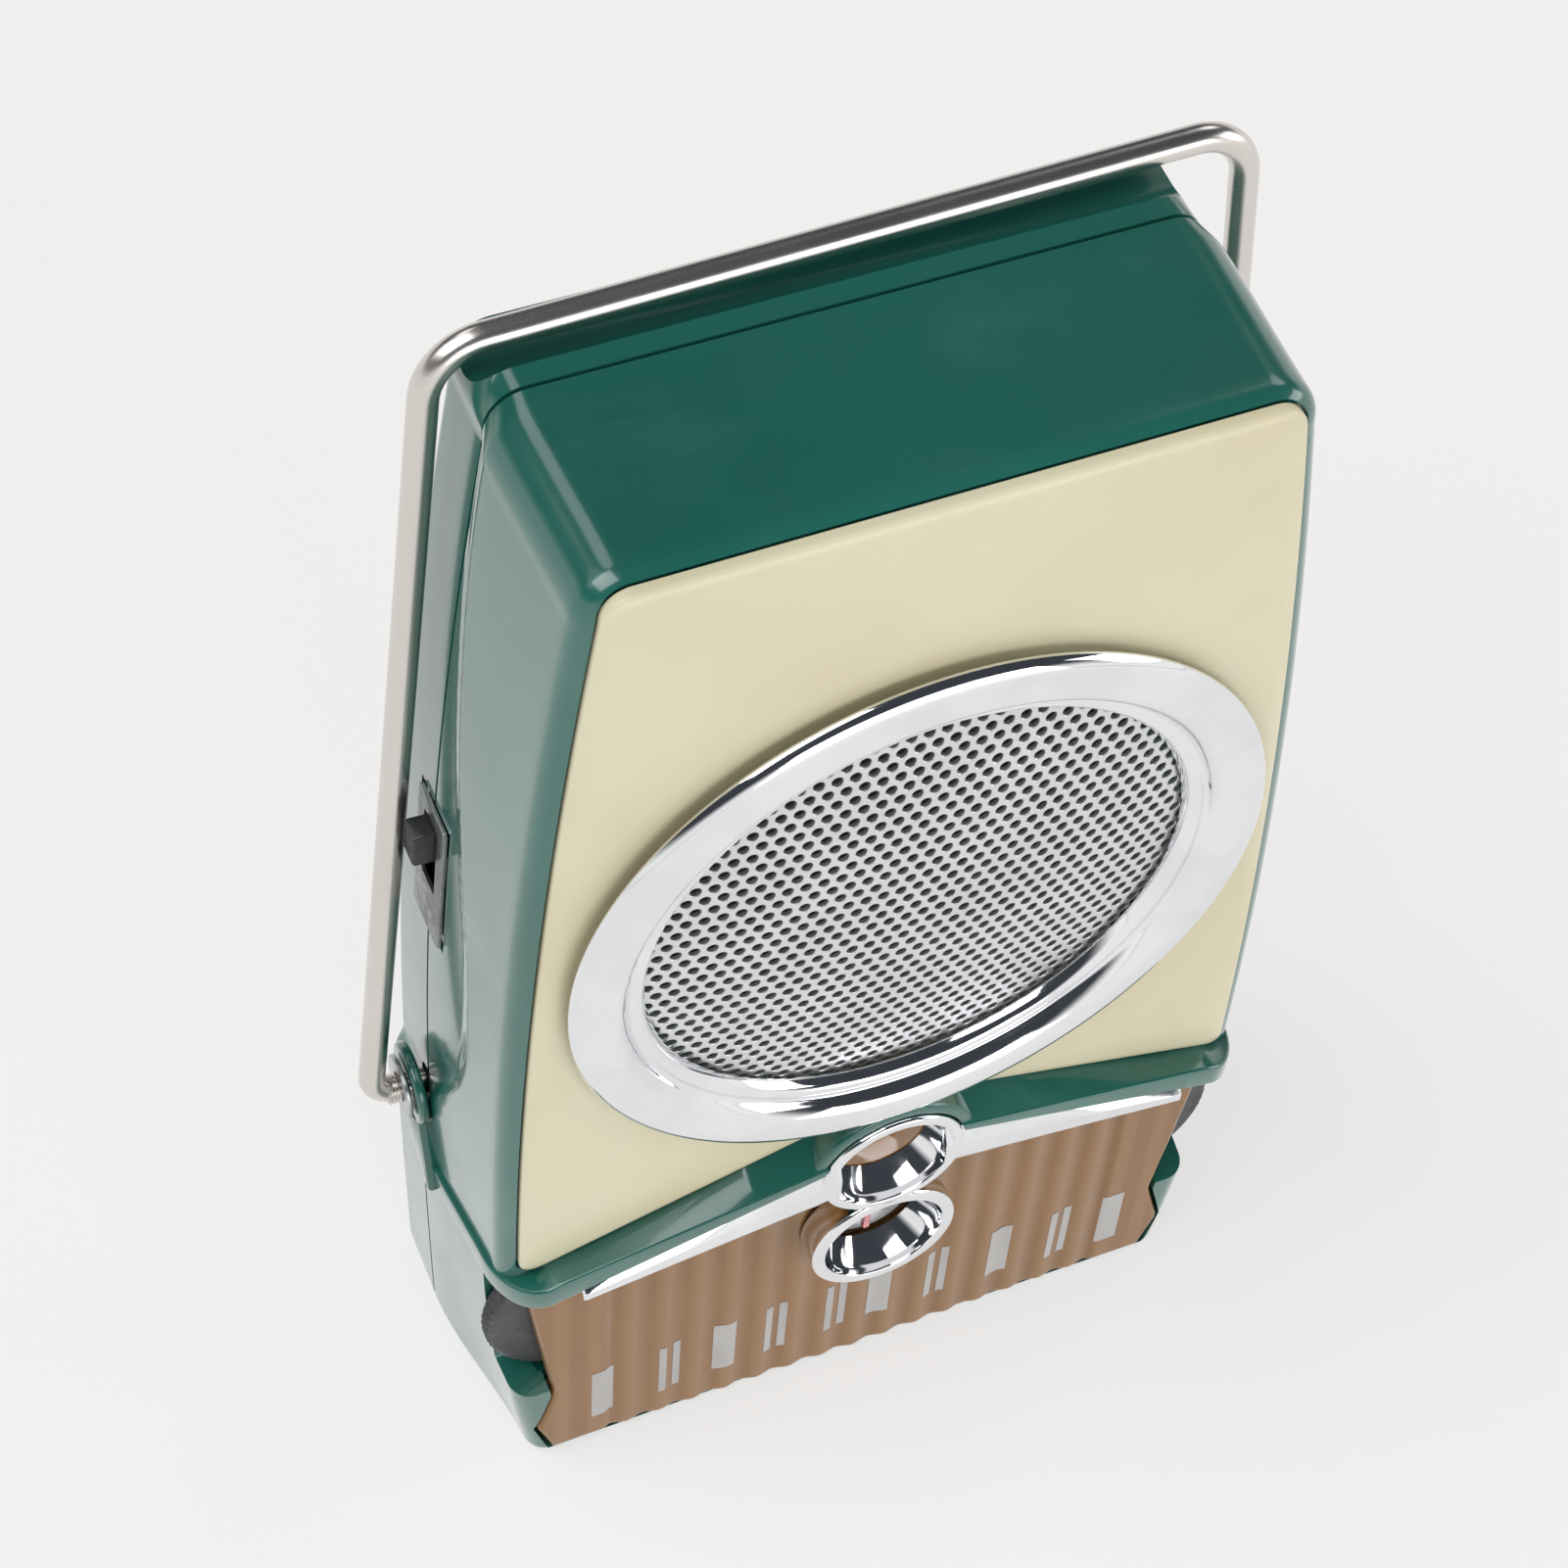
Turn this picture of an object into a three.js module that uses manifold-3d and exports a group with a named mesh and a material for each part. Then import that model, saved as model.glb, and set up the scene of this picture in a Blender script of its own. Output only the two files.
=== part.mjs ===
// Transistor pocket radio with a wire handle, standing on its tuner end.
// Millimetres, +Z up. The cream face looks along -Y, and +X is to the right.
// Pieces are drawn with y = 0 on the cream face, and the last lines centre the radio in depth.
import * as THREE from 'three';
import { mergeVertices } from 'three/addons/utils/BufferGeometryUtils.js';
import Module from 'manifold-3d';

const wasm = await Module();
wasm.setup();

// ---------- driving dimensions ----------
const GAP = 0.3; // running or seating gap between neighbours
const WALL = 1.8; // case wall
const TOP_Z = 140.4; // top face of the case
const BACK_Y = 31.9; // rear face of the case
const FRONT_Y = 1.0; // front rim of the green case
const PARTING_Y = 22.8; // joint plane of the two case halves
const EDGE_R = 2.3; // rounding of the front edge
const REAR_EDGE_R = 1.4; // rounding of the rear edge
const HALF_WIDE = 39.8; // widest half width of the case, at WIDE_Z
const WIDE_Z = 38;
const UPPER_CURVE = 0.00079; // barrel curve of the sides above WIDE_Z, 1/mm
const LOWER_CURVE = { front: 0.0022, back: 0.0002 }; // and below it, at the front rim and at the parting plane
const BULGE = 0.7; // how much wider the sides are at the parting plane than at the front rim
const CORNER_R = 4.7; // top corner rounding seen from the front
const FOOT_R = 2.4; // bottom corner rounding
const CAVITY_Y = 5.2; // front of the inner space
const CAVITY_TOP_Z = 135.9;
const RECESS = 1.0; // depth of the shallow side recess behind the handle legs

const PANEL = { half: 38.0, wideZ: 33.2, curve: 0.000712, top: 139.5, thick: 1.6, corner: 3.1 };
const PANEL_FOOT = { z: 52.7, slope: 0.288 }; // lower edge: height at the middle, fall per mm sideways

const SPEAKER_Z = 86.6;
const RING_R = 33.7;
const PANEL_HOLE_R = 28.4;
const GRILLE_R = 27.3;
const FRAME_R = 28.5;

const LIP = { midZ: 47.4, endZ: 40.0, endX: 40.4, half: 1.65, front: -2.5 }; // V-shaped rib
const LIP_PROUD = 0.5; // how far the rib stands out of the sides
const TUBE = { upperZ: 44.7, lowerZ: 30.2, upperR: 7.6, lowerR: 7.9, bore: 6.4, front: -2.65, back: 0.7 };
const WING = { front: -2.6, back: -1.4, rootX: 6.6, tipX: 32.5 };
const WHEEL = { x: 29.0, z: 25.7, r: 11.8, front: 3.7, back: 5.9 };
const LENS = { face: 1.0, back: 2.4, topX: 37.5, notchX: 34.4, notchZ: 13.3, flareX: 36.3, flareZ: 6.5,
  footX: 34.6, footZ: 1.4, flute: 3.73, fluteDepth: 0.5, plainX: 29 };
const DIAL_PLATE = { front: 2.7, back: 3.3 };
const DIAL_DISC = { r: 9.0, front: 3.9, back: 4.5 }; // deep behind the lower tube
const POINTER = { front: 3.2, back: 3.6, half: 0.45, tail: 1.2, tip: 5.8 };
const PULLEY = { r: 4.0, flange: 5.2, y: 7.9 };
const BOARD = { front: 13.0, back: 14.4, halfX: 34, low: 4.5, high: 56.5 };

const WIRE_R = 1.35;
const PIVOT = { y: 23.2, z: 44.7 };
const HANDLE = { barY: 29.0, barZ: 141.2, footX: 45.5, topX: 36.8, footBend: 2.6, topBend: 5.4, endX: 38.0,
  lean: 2.2, twist: 0.022 }; // a used wire leans a little at its crossbar and is slightly twisted
const EAR = { inner: 40.6, outer: 41.7, r: 4.3 };
const SWITCH = { y: 22.6, z: 80.9, long: 17.4, wide: 6.8, travel: 4.0, knobZ: 85.3 };
const DOOR = { half: 26.8, low: 106.2, high: 134.2 };
const BATTERY = { long: 48.5, deep: 17.5, tall: 26.5, front: 12.2, low: 108.8 };
const SCREW = { x: 32.2, z: 64.5 };

// ---------- materials ----------
const paint = (color, roughness, metalness = 0) => new THREE.MeshStandardMaterial({ color, roughness, metalness });
const GREEN = paint(0x1f5f52, 0.25);
const CREAM = paint(0xd8d0ae, 0.35);
const CHROME = paint(0xdadcde, 0.08, 1);
const NICKEL = paint(0xb9b0a6, 0.25, 1);
const MESH_METAL = paint(0xb4b7b8, 0.35, 1);
const AMBER = paint(0x9a7444, 0.3);
const BROWN = paint(0x6b4a2a, 0.5);
const DARK = paint(0x35363a, 0.5);
const BLACK = paint(0x18181a, 0.5);
const GREY = paint(0x8e9092, 0.4);
const RED = paint(0xb3201c, 0.4);
const BOARD_TAN = paint(0x9a6a3a, 0.6);
const STEEL = paint(0xa8abad, 0.35, 1);
const COPPER = paint(0xb06a3a, 0.35, 1);
const PAPER = paint(0x2c2a28, 0.9);
const FERRITE = paint(0x3a3836, 0.8);
const BLUE = paint(0x2c4f8a, 0.4);
const YELLOW = paint(0xd0a93a, 0.5);

// ---------- solids ----------
// A closed three.js geometry as a manifold-3d solid, faces turned outwards.
function solid(geometry) {
  const bare = geometry.index ? geometry.toNonIndexed() : geometry.clone();
  bare.deleteAttribute('normal');
  bare.deleteAttribute('uv');
  const merged = mergeVertices(bare, 1e-4);
  const triVerts = new Uint32Array(merged.index.array);
  const vertProperties = merged.attributes.position.array;
  const made = new wasm.Manifold(new wasm.Mesh({ numProp: 3, vertProperties, triVerts }));
  if (made.volume() >= 0) return made;
  for (let i = 0; i < triVerts.length; i += 3) {
    [triVerts[i + 1], triVerts[i + 2]] = [triVerts[i + 2], triVerts[i + 1]];
  }
  return new wasm.Manifold(new wasm.Mesh({ numProp: 3, vertProperties, triVerts }));
}

function geometryOf(made) {
  const mesh = made.getMesh();
  const geometry = new THREE.BufferGeometry();
  geometry.setAttribute('position', new THREE.BufferAttribute(new Float32Array(mesh.vertProperties), 3));
  geometry.setIndex(new THREE.BufferAttribute(new Uint32Array(mesh.triVerts), 1));
  return geometry;
}

const shapeOf = (points) => new THREE.Shape(points.map(([u, v]) => new THREE.Vector2(u, v)));
const extruded = (shape, depth) => new THREE.ExtrudeGeometry(shape, { depth, bevelEnabled: false });

// An outline in the XZ plane, from y0 back to y1.
function prismXZ(points, y0, y1, holes = []) {
  const shape = shapeOf(points);
  shape.holes = holes.map(shapeOf);
  return solid(extruded(shape, y1 - y0).rotateX(Math.PI / 2).translate(0, y1, 0));
}

// An outline in the YZ plane, from x0 to x1.
function prismYZ(points, x0, x1) {
  const turn = new THREE.Matrix4().makeBasis(
    new THREE.Vector3(0, 1, 0), new THREE.Vector3(0, 0, 1), new THREE.Vector3(1, 0, 0));
  return solid(extruded(shapeOf(points), x1 - x0).applyMatrix4(turn).translate(x0, 0, 0));
}

// An outline in the XY plane, from z0 up to z1.
const prismXY = (points, z0, z1) => solid(extruded(shapeOf(points), z1 - z0).translate(0, 0, z0));

function block(x0, x1, y0, y1, z0, z1) {
  const geometry = new THREE.BoxGeometry(x1 - x0, y1 - y0, z1 - z0);
  return solid(geometry.translate((x0 + x1) / 2, (y0 + y1) / 2, (z0 + z1) / 2));
}

// A round bar along Y.
function barY(r, x, z, y0, y1, sides = 32) {
  return solid(new THREE.CylinderGeometry(r, r, y1 - y0, sides).translate(x, (y0 + y1) / 2, z));
}

// A round bar along X.
function barX(r, y, z, x0, x1, sides = 20) {
  const geometry = new THREE.CylinderGeometry(r, r, x1 - x0, sides).rotateZ(Math.PI / 2);
  return solid(geometry.translate((x0 + x1) / 2, y, z));
}

// A turned shape about a line along Y through (x, z); the profile is a list of [radius, y].
function turned(profile, x, z, sides = 48) {
  const points = profile.map(([r, y]) => new THREE.Vector2(r, y));
  return solid(new THREE.LatheGeometry(points, sides).translate(x, 0, z));
}

// A skin over outlines with equal numbers of points, closed by a fan at each end.
function loft(outlines) {
  const count = outlines[0].length;
  const positions = outlines.flat(2);
  const index = [];
  outlines.slice(1).forEach((_, row) => {
    for (let i = 0; i < count; i += 1) {
      const a = row * count + i;
      const b = row * count + ((i + 1) % count);
      index.push(a, b, b + count, a, b + count, a + count);
    }
  });
  const last = (outlines.length - 1) * count;
  for (let i = 1; i < count - 1; i += 1) {
    index.push(0, i + 1, i, last, last + i, last + i + 1);
  }
  const geometry = new THREE.BufferGeometry();
  geometry.setAttribute('position', new THREE.Float32BufferAttribute(positions, 3));
  geometry.setIndex(index);
  return solid(geometry);
}

const mirrored = (made) => made.mirror([1, 0, 0]);
const both = (made) => made.add(mirrored(made));

// ---------- outlines ----------
function caseHalfWidth(z, y = PARTING_Y) {
  const t = THREE.MathUtils.smoothstep(y, FRONT_Y, PARTING_Y);
  const lower = THREE.MathUtils.lerp(LOWER_CURVE.front, LOWER_CURVE.back, t);
  const curve = z > WIDE_Z ? UPPER_CURVE : lower;
  return HALF_WIDE + BULGE * t - curve * (z - WIDE_Z) ** 2;
}

// The right half of a barrel-sided outline from its foot to its top, then its mirror image.
function barrelOutline(halfWidth, low, high, corner, foot = corner, arcSteps = 5, sideSteps = 12) {
  const right = [];
  for (let i = 0; i <= arcSteps; i += 1) {
    const a = (-90 + (90 * i) / arcSteps) * (Math.PI / 180);
    const z = low + foot + foot * Math.sin(a);
    right.push([halfWidth(low + foot) - foot + foot * Math.cos(a), z]);
  }
  for (let i = 1; i < sideSteps; i += 1) {
    const z = low + foot + ((high - low - corner - foot) * i) / sideSteps;
    right.push([halfWidth(z), z]);
  }
  for (let i = 0; i <= arcSteps; i += 1) {
    const a = ((90 * i) / arcSteps) * (Math.PI / 180);
    const z = high - corner + corner * Math.sin(a);
    right.push([halfWidth(high - corner) - corner + corner * Math.cos(a), z]);
  }
  const left = right.map(([x, z]) => [-x, z]).reverse();
  return right.concat(left);
}

// The case's outline at a depth, as points in space, drawn in by inset all round.
function caseOutline(inset, y, top = TOP_Z) {
  const halfWidth = (z) => caseHalfWidth(z, y) - inset;
  const corner = Math.max(CORNER_R - inset, 1);
  const foot = Math.max(FOOT_R - inset, 0.6);
  return barrelOutline(halfWidth, inset, top - inset, corner, foot).map(([x, z]) => [x, y, z]);
}

// The case's outside between two depths, with its edge rounded at the end named by edge.
function caseSkin(y0, y1, edge, radius) {
  const stations = [0, 30, 60, 90].map((degrees) => {
    const a = (degrees * Math.PI) / 180;
    return { inset: radius * (1 - Math.sin(a)), away: radius * (1 - Math.cos(a)) };
  });
  const rows = stations.map(({ inset, away }) =>
    caseOutline(inset, edge === 'front' ? y0 + away : y1 - away));
  if (edge === 'rear') return loft([caseOutline(0, y0), ...rows.reverse()]);
  const behind = [0.25, 0.5, 0.75, 1].map((share) => caseOutline(0, y0 + radius + share * (y1 - y0 - radius)));
  return loft([...rows, ...behind]);
}

// A plain body that follows the case's sides at one inset, between two depths.
function inner(inset, y0, y1, top = TOP_Z) {
  return loft([0, 0.25, 0.5, 0.75, 1].map((share) => caseOutline(inset, y0 + share * (y1 - y0), top)));
}

// The cream panel's outline, with the speaker end high and the V-shaped foot low.
function panelOutline(grow = 0) {
  const halfWidth = (z) => PANEL.half - PANEL.curve * (z - PANEL.wideZ) ** 2 + grow;
  const footZ = (x) => PANEL_FOOT.z - PANEL_FOOT.slope * Math.abs(x) - grow;
  const low = footZ(halfWidth(42));
  const barrel = barrelOutline(halfWidth, low, PANEL.top + grow, PANEL.corner + grow);
  const upper = barrel.filter(([x, z]) => z > footZ(x));
  const middle = upper.length / 2;
  const inner = halfWidth(low) - 1.6;
  const right = [[inner, footZ(inner)], ...upper.slice(0, middle)];
  const left = [...upper.slice(middle), [-inner, footZ(inner)]];
  return [[0, footZ(0)], ...right, ...left];
}

const lipZ = (x) => LIP.midZ - ((LIP.midZ - LIP.endZ) * Math.abs(x)) / LIP.endX;

// A V-shaped band in the XZ plane, between two offsets from the lip's centre line.
const vBand = (x, below, above) => [
  [-x, lipZ(x) + below], [0, lipZ(0) + below], [x, lipZ(x) + below],
  [x, lipZ(x) + above], [0, lipZ(0) + above], [-x, lipZ(x) + above]];

function lensOutline(grow = 0) {
  const under = -LIP.half - 0.35 + grow;
  const right = [
    [LENS.footX + grow, LENS.footZ - grow], [LENS.flareX + grow, LENS.flareZ],
    [LENS.notchX + grow, LENS.notchZ], [LENS.topX + grow, lipZ(LENS.topX) + under]];
  return [[0, LENS.footZ - 0.7 - grow], ...right, [0, lipZ(0) + under],
    ...right.map(([x, z]) => [-x, z]).reverse()];
}

// One wing of the trim, between the tubes and its tip; grow widens it for the seat in the lip.
const wingOutline = (grow = 0) => [
  [WING.rootX, 41.4 - grow], [WING.tipX + grow, 38.0 - grow],
  [WING.tipX + grow, 40.1 + grow], [WING.rootX, 46.8 + grow]];

// ---------- case halves ----------
// The side recess, seen from the side: its front edge drifts forward as it falls, then turns back to the ear.
const RECESS_SIDE = [
  [40, 137], [22.5, 137], [21.8, 124], [19.7, 108], [17.6, 97], [15.3, 87], [13.5, 79], [12.8, 68],
  [13.6, 62], [15.1, 58.5], [18, 53], [21, 48], [23, 44.5], [26, 42.5], [40, 41.5]];

function sideRecess() {
  const band = prismYZ(RECESS_SIDE, -60, 60);
  return band.subtract(inner(RECESS, 0, 50));
}

const pivotHoles = () => both(barX(WIRE_R + GAP, PIVOT.y, PIVOT.z, 37.0, 50));

function switchOpening() {
  const half = SWITCH.long / 2 + GAP;
  const lean = 0.068 * half;
  const wall = caseHalfWidth(SWITCH.z) - RECESS;
  const y0 = SWITCH.y - SWITCH.wide / 2 - GAP;
  const y1 = SWITCH.y + SWITCH.wide / 2 + GAP;
  const seat = [[-wall + 0.35 - lean, -half], [-wall + 0.35 + lean, half], [-60, half], [-60, -half]];
  const outline = seat.map(([x, z]) => [x, SWITCH.z + z]);
  return prismXZ(outline, y0, y1).add(block(-60, -32, SWITCH.y - 2.6, SWITCH.y + 2.6, SWITCH.z - 6.4, SWITCH.z + 7.6));
}

// The slope from the rib's ridge back and up to the panel's lower edge.
function shelf() {
  const row = (x, y0, h0, y1, h1) => [[x, y0, h0], [x, 4.2, h0], [x, 4.2, h1], [x, y1, h1]];
  const at = (x) => {
    const ridge = lipZ(x) + LIP.half;
    return row(x, LIP.front, ridge - 1.2, FRONT_Y, Math.max(PANEL_FOOT.z - PANEL_FOOT.slope * Math.abs(x) - GAP, ridge));
  };
  const under = (x) => at(x).map(([px, py, pz], i) => (i === 3 ? [px, 0.6, pz] : [px, py, pz]));
  const slope = (x) => {
    const [low, lowBack, highBack, high] = under(x);
    return [low, lowBack, highBack, high, [x, LIP.front, lipZ(x) + LIP.half]];
  };
  const right = loft([slope(0), slope(9), slope(18), slope(27), slope(36)]);
  return both(right);
}

function lipRib() {
  const front = prismXZ(vBand(46, -LIP.half, LIP.half), LIP.front, 4.2).add(shelf());
  const sideBar = prismYZ([
    [LIP.front + 0.6, LIP.endZ - LIP.half], [PARTING_Y - GAP, 31.2], [PARTING_Y - GAP, 34.2],
    [LIP.front + 0.6, LIP.endZ + LIP.half]], 34, 46);
  const noseInsets = [[0, 1.8], [0.7, 0.7], [1.9, 0], [3.6, -LIP_PROUD]];
  const nose = noseInsets.map(([away, inset]) => caseOutline(inset, LIP.front + away));
  const sides = [8, 15, PARTING_Y - GAP].map((y) => caseOutline(-LIP_PROUD, y));
  const reach = loft([...nose, ...sides]);
  return front.add(both(sideBar)).intersect(reach);
}

// The handle's ear: a round plate beside the case, on a short web that rises from the rib.
function ear() {
  const plate = barX(EAR.r, PIVOT.y, PIVOT.z, EAR.inner, EAR.outer, 28);
  const web = prismYZ([[17.6, 33.5], [21.9, 32.4], [25.4, 41], [20, 43]], EAR.inner, EAR.outer);
  const root = prismYZ([[17.6, 33.0], [22.2, 32.0], [22.2, 36], [19.5, 36]], 38.6, EAR.inner + 0.2);
  return plate.add(web).add(root);
}

function wheelPocket() {
  const pocket = barY(WHEEL.r + 0.6, WHEEL.x, WHEEL.z, WHEEL.front - GAP, WHEEL.back + GAP, 40);
  const notch = prismYZ([[-5, 12.6], [1, 14.6], [5.4, 15.4], [5.4, 37.4], [-5, 37.4]], 33.4, 50);
  return both(pocket.add(notch));
}

const screwPosts = (r, y0, y1) => both(barY(r, SCREW.x, SCREW.z, y0, y1, 16));

function frontShell() {
  const bodySkin = caseSkin(FRONT_Y, PARTING_Y - GAP / 2, 'front', EDGE_R);
  let shell = bodySkin.subtract(sideRecess()).add(lipRib()).add(both(ear()));
  shell = shell.subtract(inner(WALL, CAVITY_Y, 40, CAVITY_TOP_Z + WALL));
  shell = shell.subtract(prismXZ(panelOutline(0.25), -1, PANEL.thick + GAP));
  shell = shell.subtract(barY(FRAME_R + 0.6, 0, SPEAKER_Z, 3.7, CAVITY_Y + 1, 48));
  shell = shell.subtract(barY(25.5, 0, SPEAKER_Z, 0, 6, 48));
  shell = shell.subtract(prismXZ(lensOutline(0.3), -1, DIAL_PLATE.back + GAP));
  shell = shell.subtract(prismXZ(lensOutline(-2.2), 0, 8));
  shell = shell.subtract(wheelPocket());
  const trimSeat = both(prismXZ(wingOutline(GAP), -5, WING.back + GAP));
  const tubeSeat = barY(TUBE.upperR + GAP, 0, TUBE.upperZ, -5, TUBE.back + GAP, 40);
  shell = shell.subtract(trimSeat).subtract(tubeSeat);
  shell = shell.subtract(pivotHoles()).subtract(switchOpening());
  return shell.add(screwPosts(3, CAVITY_Y - 0.5, 22)).subtract(screwPosts(1.5, 16, 30));
}

function rearShell() {
  const bodySkin = caseSkin(PARTING_Y + GAP / 2, BACK_Y, 'rear', REAR_EDGE_R);
  let shell = bodySkin.subtract(sideRecess());
  shell = shell.subtract(barX(3.2, 28.3, 141.1, -60, 60, 32));
  shell = shell.subtract(inner(WALL, 10, BACK_Y - WALL, CAVITY_TOP_Z + WALL));
  shell = shell.add(both(prismYZ([[25.5, 33.2], [30.5, 35.8], [30.5, 39.6], [28.9, 38.2]], 38.4, 40.6)));
  shell = shell.subtract(block(-DOOR.half - 0.2, DOOR.half + 0.2, 28, 40, DOOR.low - 0.2, DOOR.high + 0.2));
  shell = shell.subtract(pivotHoles()).subtract(switchOpening());
  shell = shell.add(screwPosts(3.6, PARTING_Y + 0.4, BACK_Y - 0.6)).subtract(screwPosts(1.5, 20, 40));
  return shell.subtract(screwPosts(2.9, 30.0, 40));
}

function frontPanel() {
  const hole = Array.from({ length: 48 }, (_, i) => {
    const a = (-i * Math.PI) / 24;
    return [PANEL_HOLE_R * Math.cos(a), SPEAKER_Z + PANEL_HOLE_R * Math.sin(a)];
  });
  return prismXZ(panelOutline(), 0, PANEL.thick, [hole]);
}

function batteryDoor() {
  const plate = block(-DOOR.half, DOOR.half, BACK_Y - WALL, BACK_Y, DOOR.low, DOOR.high);
  const thumbHollow = barX(5, BACK_Y + 4.3, DOOR.low + 4.5, -7, 7, 24);
  return plate.subtract(thumbHollow);
}

// ---------- trim, lens and dial ----------
const speakerRing = () => turned([
  [RING_R, -2.0], [33.3, -2.4], [32.3, -2.75], [30.9, -2.9], [29.6, -2.6], [28.6, -1.9], [28.0, -1.1],
  [27.5, -1.25], [26.9, -1.2], [26.4, -0.8], [26.1, -0.3], [26.1, 0.1], [27.6, 0.1], [28.0, -0.3],
  [28.6, -0.35], [33.2, -1.6], [RING_R, -2.0]], 0, SPEAKER_Z, 52);

const speakerGrille = () => turned([
  [0, -1.3], [9, -1.1], [17, -0.6], [23, 0.05], [25.9, 0.45], [GRILLE_R, 0.55],
  [GRILLE_R, 1.15], [25.9, 1.05], [23, 0.65], [17, 0.0], [9, -0.5], [0, -0.7]], 0, SPEAKER_Z, 40);

function wingTrim() {
  const tube = (r, z) => turned([
    [TUBE.bore, TUBE.back], [TUBE.bore, TUBE.front + 0.35], [TUBE.bore + 0.4, TUBE.front],
    [r - 0.45, TUBE.front], [r, TUBE.front + 0.5], [r, TUBE.back], [TUBE.bore, TUBE.back]], 0, z, 40);
  const bores = barY(TUBE.bore, 0, TUBE.upperZ, -5, 5, 40).add(barY(TUBE.bore, 0, TUBE.lowerZ, -5, 5, 40));
  const wing = prismXZ(wingOutline(), WING.front, WING.back);
  const pin = barY(0.6, 28, 39.2, WING.back - 0.2, TUBE.back, 12);
  const tubes = tube(TUBE.upperR, TUBE.upperZ).add(tube(TUBE.lowerR, TUBE.lowerZ));
  return tubes.add(both(wing.add(pin))).subtract(bores);
}

// The fluted amber lens: upright ridges across its middle, plain ends, a round window over the dial.
function tunerLens() {
  const section = [[-42, LENS.back], [-42, LENS.face]];
  const ridges = Math.round((2 * LENS.plainX) / LENS.flute);
  for (let i = 0; i < ridges * 4; i += 1) {
    const x = -LENS.plainX + (i * LENS.flute) / 4;
    const y = LENS.face + (LENS.fluteDepth * (1 - Math.cos((i * Math.PI) / 2))) / 2;
    section.push([x, y]);
  }
  section.push([42, LENS.face], [42, LENS.back]);
  const slab = prismXY(section.reverse(), -5, 60);
  return slab.intersect(prismXZ(lensOutline(), -5, 5)).subtract(barY(6.7, 0, TUBE.lowerZ, -5, 5, 36));
}

function dialPlate() {
  const plate = prismXZ(lensOutline(-0.1), DIAL_PLATE.front, DIAL_PLATE.back);
  return plate.subtract(barY(9.4, 0, TUBE.lowerZ, -5, 5, 36));
}

const pulley = (x, z) => turned([
  [0, PULLEY.y - 1.1], [PULLEY.flange, PULLEY.y - 1.1], [PULLEY.flange, PULLEY.y - 0.7], [PULLEY.r, PULLEY.y - 0.5],
  [PULLEY.r, PULLEY.y + 0.5], [PULLEY.flange, PULLEY.y + 0.7], [PULLEY.flange, PULLEY.y + 1.1],
  [0, PULLEY.y + 1.1]], x, z, 28);

const dialDisc = () => barY(DIAL_DISC.r, 0, TUBE.lowerZ, DIAL_DISC.front, DIAL_DISC.back, 40)
  .add(barY(1.5, 0, TUBE.lowerZ, DIAL_DISC.front + 0.1, BOARD.back, 16))
  .add(pulley(0, TUBE.lowerZ));

const dialPointer = () => block(-POINTER.half, POINTER.half, POINTER.front, POINTER.back,
  TUBE.lowerZ - POINTER.tail, TUBE.lowerZ + POINTER.tip);

function knurledWheel(x) {
  const teeth = 48;
  const rim = Array.from({ length: teeth * 2 }, (_, i) => {
    const a = (i * Math.PI) / teeth;
    const r = WHEEL.r - (i % 2) * 0.35;
    return [x + r * Math.cos(a), WHEEL.z + r * Math.sin(a)];
  });
  return prismXZ(rim, WHEEL.front, WHEEL.back);
}

const volumeWheel = () => knurledWheel(-WHEEL.x).add(barY(2.2, -WHEEL.x, WHEEL.z, 5, BOARD.back - 0.1, 16));

const tuningWheel = () => knurledWheel(WHEEL.x)
  .add(barY(2.2, WHEEL.x, WHEEL.z, 5, BOARD.back - 0.1, 16))
  .add(pulley(WHEEL.x, WHEEL.z));

// The endless dial cord, round both pulleys.
function dialCord() {
  const lean = Math.atan2(WHEEL.z - TUBE.lowerZ, WHEEL.x);
  const loop = (r) => Array.from({ length: 32 }, (_, i) => {
    const right = i < 16;
    const a = lean + (right ? -90 + 12 * i : 90 + 12 * (i - 16)) * (Math.PI / 180);
    return [(right ? WHEEL.x : 0) + r * Math.cos(a), (right ? WHEEL.z : TUBE.lowerZ) + r * Math.sin(a)];
  });
  return prismXZ(loop(PULLEY.r + 0.75), PULLEY.y - 0.25, PULLEY.y + 0.25, [loop(PULLEY.r + 0.3).reverse()]);
}

// ---------- handle ----------
// Points round a corner of a path in the handle's own plane, replacing the corner by an arc.
function rounded(corner, from, to, radius, steps = 6) {
  const a = new THREE.Vector2().subVectors(from, corner).normalize();
  const b = new THREE.Vector2().subVectors(to, corner).normalize();
  const half = Math.acos(a.dot(b)) / 2;
  const start = corner.clone().addScaledVector(a, radius / Math.tan(half));
  const centre = corner.clone().addScaledVector(a.clone().add(b).normalize(), radius / Math.sin(half));
  const sweep = Math.PI - 2 * half;
  const turn = Math.sign(a.x * b.y - a.y * b.x);
  return Array.from({ length: steps + 1 }, (_, i) =>
    start.clone().rotateAround(centre, (-turn * sweep * i) / steps));
}

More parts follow.
